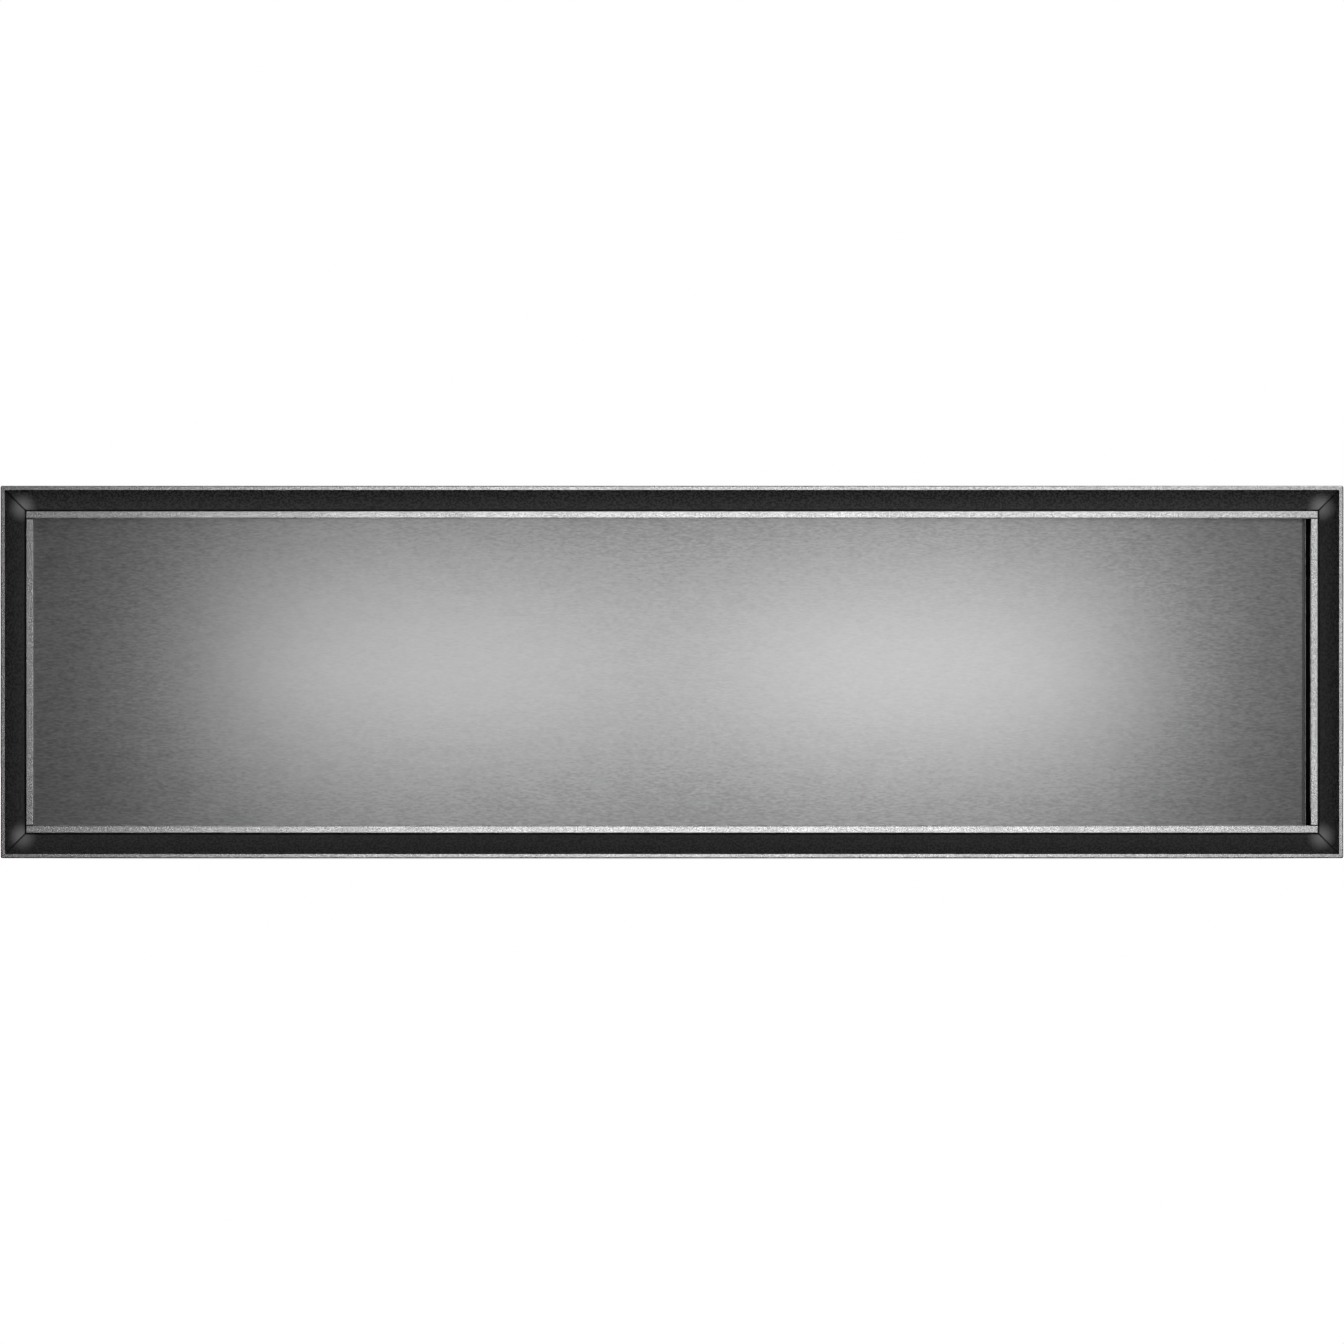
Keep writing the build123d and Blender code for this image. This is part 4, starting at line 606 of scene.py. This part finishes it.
def rounded_plate(width, height, radius):
    """The outline of a plate with round corners."""
    outline = []
    for quarter, (sx, sy) in enumerate(((1, 1), (-1, 1), (-1, -1), (1, -1))):
        corner = arc(radius, 90 * quarter, 90 * quarter + 90, 8)
        outline += [(x + sx * (width / 2 - radius), y + sy * (height / 2 - radius)) for x, y in corner]
    return outline


def cross(size, width):
    """The outline of a screwdriver cross."""
    a = size / 2
    b = width / 2
    arm = [(a, -b), (a, b), (b, b)]
    return arm + [(-y, x) for x, y in arm] + [(-x, -y) for x, y in arm] + [(y, -x) for x, y in arm]


def add_piece(name, solids, made, body):
    """One mesh from several solids, with a finish, that moves with a body."""
    points = []
    faces = []
    for some_points, some_faces in solids:
        first = len(points)
        points += some_points
        faces += [tuple(first + i for i in face) for face in some_faces]
    mesh = bpy.data.meshes.new(name)
    mesh.from_pydata(points, [], faces)
    mesh.materials.append(made)
    piece = bpy.data.objects.new(name, mesh)
    bpy.context.scene.collection.objects.link(piece)
    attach(piece, body)


def middle_of(node):
    """The middle of a CAD piece's box, and its highest corner."""
    low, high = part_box(node)
    return (Vector(low) + Vector(high)) / 2, Vector(high)


def moved(x, y, z):
    """A shift to a place."""
    return Matrix.Translation((x, y, z))


white_print = moulded_plastic("white_print", (0.70, 0.70, 0.69), roughness=0.55, relief=0.10)
dark_print = moulded_plastic("dark_print", even(0.025), roughness=0.60, relief=0.10)
recess_shadow = moulded_plastic("recess_shadow", even(0.02), roughness=0.75, relief=0.10, shine=0.2)
fitting_steel = brushed_steel(
    "fitting_steel",
    (0.58, 0.58, 0.59),
    roughness=0.28,
    grain=even(700),
    contrast=0.08,
    spread=0.05,
    relief=0.10,
)
plate_alloy = brushed_steel(
    "plate_alloy",
    (0.66, 0.66, 0.67),
    roughness=0.36,
    grain=FRONT_GRAIN,
    contrast=0.06,
    spread=0.04,
    relief=0.08,
)

PRINT = 0.00004  # how thick printed ink is
LINE_WIDTH = 0.0006  # of the dial's ticks and the button's mark
TO_FRONT = Matrix.Rotation(math.radians(90), 4, "X")
TO_REAR = Matrix.Rotation(math.radians(-90), 4, "X")

# The dial: long ticks at five settings, with numbers, and short ticks between
DIAL_SWEEP = 270  # degrees
DIAL_STEPS = 4
TICKS_PER_STEP = 4
TICK_GAP = 0.0018
LONG_TICK = 0.0030
SHORT_TICK = 0.0016
NUMBER_GAP = 0.0080
NUMBER_SIZE = 0.0048
console_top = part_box("control_console")[1][2]
knob, knob_high = middle_of("temperature_knob")
knob_radius = knob_high.x - knob.x
at_dial = moved(knob.x, knob.y, console_top)
ticks = []
for i in range(TICKS_PER_STEP * DIAL_STEPS + 1):
    length = LONG_TICK if i % TICKS_PER_STEP == 0 else SHORT_TICK
    turn = Matrix.Rotation(math.radians(-DIAL_SWEEP * i / (TICKS_PER_STEP * DIAL_STEPS)), 4, "Z")
    out = moved(0, knob_radius + TICK_GAP + length / 2, 0)
    ticks.append(prism(rounded_bar(length, LINE_WIDTH), 0, PRINT, at_dial @ turn @ out))
add_piece("dial_ticks", ticks, dark_print, "drawer")
for i in range(DIAL_STEPS + 1):
    lettering = bpy.data.curves.new(f"dial_number_{i}", "FONT")
    lettering.body = str(i)
    lettering.size = NUMBER_SIZE
    lettering.align_x = "CENTER"
    lettering.align_y = "CENTER"
    lettering.extrude = PRINT
    lettering.materials.append(dark_print)
    number = bpy.data.objects.new(f"dial_number_{i}", lettering)
    turn = Matrix.Rotation(math.radians(-DIAL_SWEEP * i / DIAL_STEPS), 4, "Z")
    number.location = at_dial @ turn @ Vector((0, knob_radius + NUMBER_GAP, 0))
    bpy.context.scene.collection.objects.link(number)
    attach(number, "drawer")

# White paint in the knob's pointer groove
POINTER_LENGTH = 0.0090
POINTER_DEPTH = 0.0006
POINTER_INSET = 0.0003
PAINT_LENGTH = POINTER_LENGTH - 0.0012
PAINT_WIDTH = 0.0011
pointer_y = knob.y + knob_radius - POINTER_LENGTH / 2 - POINTER_INSET
at_pointer = moved(knob.x, pointer_y, knob_high.z - POINTER_DEPTH)
pointer = prism(rounded_bar(PAINT_LENGTH, PAINT_WIDTH), 0, POINTER_DEPTH / 2, at_pointer)
add_piece("pointer_paint", [pointer], white_print, "knob")

# The mark on the button: a ring that is open at the top, with a bar in the opening
RING_RADIUS = 0.0030
RING_ENDS = (125, 415)  # degrees
BAR_LENGTH = 0.0028
BAR_RISE = 0.0022
button, button_high = middle_of("power_button")
at_button = moved(button.x, button.y, button_high.z)
ring_outer = arc(RING_RADIUS, *RING_ENDS)
ring_inner = arc(RING_RADIUS - LINE_WIDTH, *RING_ENDS)
mark = bands(ring_outer, ring_inner, -PRINT, PRINT, at_button)
mark.append(prism(rounded_bar(BAR_LENGTH, LINE_WIDTH), -PRINT, PRINT, at_button @ moved(0, BAR_RISE, 0)))
add_piece("button_mark", mark, dark_print, "button")

# Crosses in the heads of the housing's screws
SCREW_X = 0.270
TOP_SCREW_DEPTHS = (0.065, 0.195, 0.325, 0.455)
REAR_SCREW_HEIGHTS = (0.025, 0.069, 0.113)
SCREW_CROSS = (0.0042, 0.0011)  # its size and the width of its arms
screw_high = Vector(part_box("housing_screws")[1])
screw_tops = []
for sx in (-1, 1):
    screw_tops += [moved(sx * SCREW_X, y, screw_high.z) for y in TOP_SCREW_DEPTHS]
    screw_tops += [moved(sx * SCREW_X, screw_high.y, z) @ TO_REAR for z in REAR_SCREW_HEIGHTS]
crosses = [prism(cross(*SCREW_CROSS), -PRINT, PRINT, place) for place in screw_tops]
add_piece("housing_screw_crosses", crosses, recess_shadow, "housing")

# Screws that hold the fan's cover and the console
HEAD_RADIUS = 0.0027
HEAD_HEIGHT = 0.0011
HEAD_CROSS = (0.0028, 0.0008)
CORNER_INSET = 0.0070
CONSOLE_SCREW_X = 0.247
CONSOLE_SCREW_DEPTHS = (0.006, 0.039)
cover_low, cover_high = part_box("fan_cover")
heads = [
    moved(x, cover_low[1], z) @ TO_FRONT
    for x in (cover_low[0] + CORNER_INSET, cover_high[0] - CORNER_INSET)
    for z in (cover_low[2] + CORNER_INSET, cover_high[2] - CORNER_INSET)
]
heads += [moved(sx * CONSOLE_SCREW_X, y, console_top) for sx in (-1, 1) for y in CONSOLE_SCREW_DEPTHS]
domes = [dome(HEAD_RADIUS, HEAD_HEIGHT, place) for place in heads]
add_piece("inner_screw_heads", domes, fitting_steel, "drawer")
recesses = [prism(cross(*HEAD_CROSS), HEAD_HEIGHT - PRINT, HEAD_HEIGHT + PRINT, place) for place in heads]
add_piece("inner_screw_crosses", recesses, recess_shadow, "drawer")

# A bare rating plate on the rear panel, held by two rivets
PLATE_X = 0.10
PLATE_Z = 0.042
PLATE_WIDTH = 0.060
PLATE_HEIGHT = 0.028
PLATE_CORNER = 0.003
PLATE_THICKNESS = 0.0004
RIVET_RADIUS = 0.0015
RIVET_HEIGHT = 0.0012
RIVET_INSET = 0.004
at_plate = moved(PLATE_X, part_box("rear_panel")[1][1], PLATE_Z) @ TO_REAR
plate = [prism(rounded_plate(PLATE_WIDTH, PLATE_HEIGHT, PLATE_CORNER), 0, PLATE_THICKNESS, at_plate)]
for sx in (-1, 1):
    at_rivet = at_plate @ moved(sx * (PLATE_WIDTH / 2 - RIVET_INSET), 0, 0)
    plate.append(dome(RIVET_RADIUS, RIVET_HEIGHT, at_rivet))
add_piece("rating_plate", plate, plate_alloy, "housing")

# A printed border on the glass
BORDER_INSET = 0.014
BORDER_WIDTH = 0.0012
BORDER_CORNER = 0.008
glass, glass_high = middle_of("glass_plate")
glass_width = 2 * (glass_high.x - glass.x - BORDER_INSET)
glass_depth = 2 * (glass_high.y - glass.y - BORDER_INSET)
at_glass = moved(glass.x, glass.y, glass_high.z)
outer = rounded_plate(glass_width, glass_depth, BORDER_CORNER)
inner = rounded_plate(
    glass_width - 2 * BORDER_WIDTH, glass_depth - 2 * BORDER_WIDTH, BORDER_CORNER - BORDER_WIDTH
)
border = bands([*outer, outer[0]], [*inner, inner[0]], 0, PRINT, at_glass)
add_piece("glass_border", border, white_print, "drawer")

# Studio

VIEW_WIDTH = 0.5984  # what the picture takes in across, at the frame's front
CAMERA_AWAY = 25.0
SENSOR_WIDTH = 36
CLIP_END = 2 * CAMERA_AWAY

camera_data = bpy.data.cameras.new("camera")
camera_data.sensor_width = SENSOR_WIDTH
camera_data.lens = SENSOR_WIDTH * CAMERA_AWAY / VIEW_WIDTH
camera_data.clip_end = CLIP_END
camera = bpy.data.objects.new("camera", camera_data)
camera.location = (0, FRONT_FACE - CAMERA_AWAY, MIDDLE)
camera.rotation_euler = (math.radians(90), 0, 0)
bpy.context.scene.collection.objects.link(camera)
bpy.context.scene.camera = camera


def softbox(name, place, target, width, height, power):
    """A soft area light at place that faces target and isn't seen itself."""
    data = bpy.data.lights.new(name, "AREA")
    data.shape = "RECTANGLE"
    data.size = width
    data.size_y = height
    data.energy = power
    made = bpy.data.objects.new(name, data)
    made.location = place
    way = [b - a for a, b in zip(place, target)]
    made.rotation_euler = (
        math.atan2(math.hypot(way[0], way[1]), -way[2]),
        0,
        math.atan2(way[0], -way[1]) + math.pi,
    )
    made.visible_camera = False
    bpy.context.scene.collection.objects.link(made)
    return made


def front_box(name, x, away, z, width, height, power):
    """A softbox that faces the front squarely from some way in front of it."""
    return softbox(name, (x, -away, z), (x, 0, z), width, height, power)


# Two narrow boxes make the panel's two glows
GLOW_Z = MIDDLE + 0.001
front_box("left_box", x=-0.109, away=1.10, z=GLOW_Z, width=0.20, height=0.035, power=0.132)
front_box("right_box", x=0.117, away=1.10, z=GLOW_Z, width=0.205, height=0.035, power=0.158)
softbox("key_box", (0.40, -0.80, MIDDLE + 0.45), (0.05, 0, MIDDLE), width=0.4, height=0.4, power=1.7)
softbox("top_box", (0, 0.25, 1.6), (0, 0.2, 0), width=1.2, height=1.0, power=4.0)

# One more box is kept for the frame round the panel, which scatters what the smoother panel would mirror
frame_box = front_box("frame_box", x=0.068, away=1.20, z=MIDDLE - 0.02, width=0.56, height=0.4, power=1.27)
framing = bpy.data.collections.new("framing")
for name, piece in nodes.items():
    if name.startswith(("frame_band", "rim_", "liner_")):
        framing.objects.link(piece)
frame_box.light_linking.receiver_collection = framing

# The world is white to the eye. Its light is dim from straight in front, where the steel mirrors it,
# and soft from above, from behind and a little from below
DIM = 0.012
BRIGHT = 1.0
BRIGHT_SIDE = (0, 1, 0.6)
BRIGHT_EDGE = (-0.4, 0.4)
LOW_GLOW = 0.25
LOW_EDGE = (-0.6, -0.35)
world = bpy.data.worlds.new("studio")
world.use_nodes = True
bpy.context.scene.world = world
sky = world.node_tree
seen = sky.nodes["Background"]
seen.inputs["Color"].default_value = (1, 1, 1, 1)
seen.inputs["Strength"].default_value = 1.0
direction = sky.nodes.new("ShaderNodeTexCoord").outputs["Generated"]
lean = vector_math(sky, "DOT_PRODUCT", direction, BRIGHT_SIDE)["Value"]
parts = sky.nodes.new("ShaderNodeSeparateXYZ")
sky.links.new(direction, parts.inputs["Vector"])
glow = sky.nodes.new("ShaderNodeMath")
glow.operation = "MAXIMUM"
sky.links.new(remap(sky, lean, DIM, BRIGHT, *BRIGHT_EDGE, "SMOOTHSTEP"), glow.inputs[0])
sky.links.new(remap(sky, parts.outputs["Z"], LOW_GLOW, DIM, *LOW_EDGE, "SMOOTHSTEP"), glow.inputs[1])
ambient = sky.nodes.new("ShaderNodeBackground")
sky.links.new(glow.outputs["Value"], ambient.inputs["Strength"])
ray = sky.nodes.new("ShaderNodeLightPath")
choose = sky.nodes.new("ShaderNodeMixShader")
sky.links.new(ray.outputs["Is Camera Ray"], choose.inputs["Fac"])
sky.links.new(ambient.outputs["Background"], choose.inputs[1])
sky.links.new(seen.outputs["Background"], choose.inputs[2])
sky.links.new(choose.outputs["Shader"], sky.nodes["World Output"].inputs["Surface"])
bpy.context.scene.view_settings.view_transform = "Standard"

# The floor stops a little way in front and is darker there, so the panel doesn't mirror it.
# It is nearly white to the eye
FLOOR_FRONT = -0.05
FLOOR_SIZE = 30
FLOOR_DROP = 0.0005
FLOOR_DARK = 0.06
FLOOR_PALE = 0.75
FLOOR_GLOW = 0.03
FLOOR_SEEN = 0.95
floor_z = cad_box[0][2] - FLOOR_DROP
bpy.ops.mesh.primitive_plane_add(size=FLOOR_SIZE, location=(0, FLOOR_FRONT + FLOOR_SIZE / 2, floor_z))
floor = bpy.context.object
floor.name = "floor"
floor_paint, floor_tree, floor_shader = start_material("floor_paint")
pale_from = -FLOOR_SIZE / 2 - FLOOR_FRONT
behind = remap(floor_tree, along(floor_tree, "Y"), 0.0, 1.0, pale_from, pale_from - FLOOR_FRONT)
set_colour(floor_tree, floor_shader, behind, even(FLOOR_DARK), even(FLOOR_PALE))
floor_shader.inputs["Roughness"].default_value = 0.9
floor_shader.inputs["Specular IOR Level"].default_value = 0.0
floor_shader.inputs["Emission Color"].default_value = (1, 1, 1, 1)
floor_ray = floor_tree.nodes.new("ShaderNodeLightPath")
to_eye = floor_ray.outputs["Is Camera Ray"]
floor_glow = remap(floor_tree, to_eye, FLOOR_GLOW, FLOOR_SEEN, start=0.0, end=1.0)
floor_tree.links.new(floor_glow, floor_shader.inputs["Emission Strength"])
floor.data.materials.append(floor_paint)
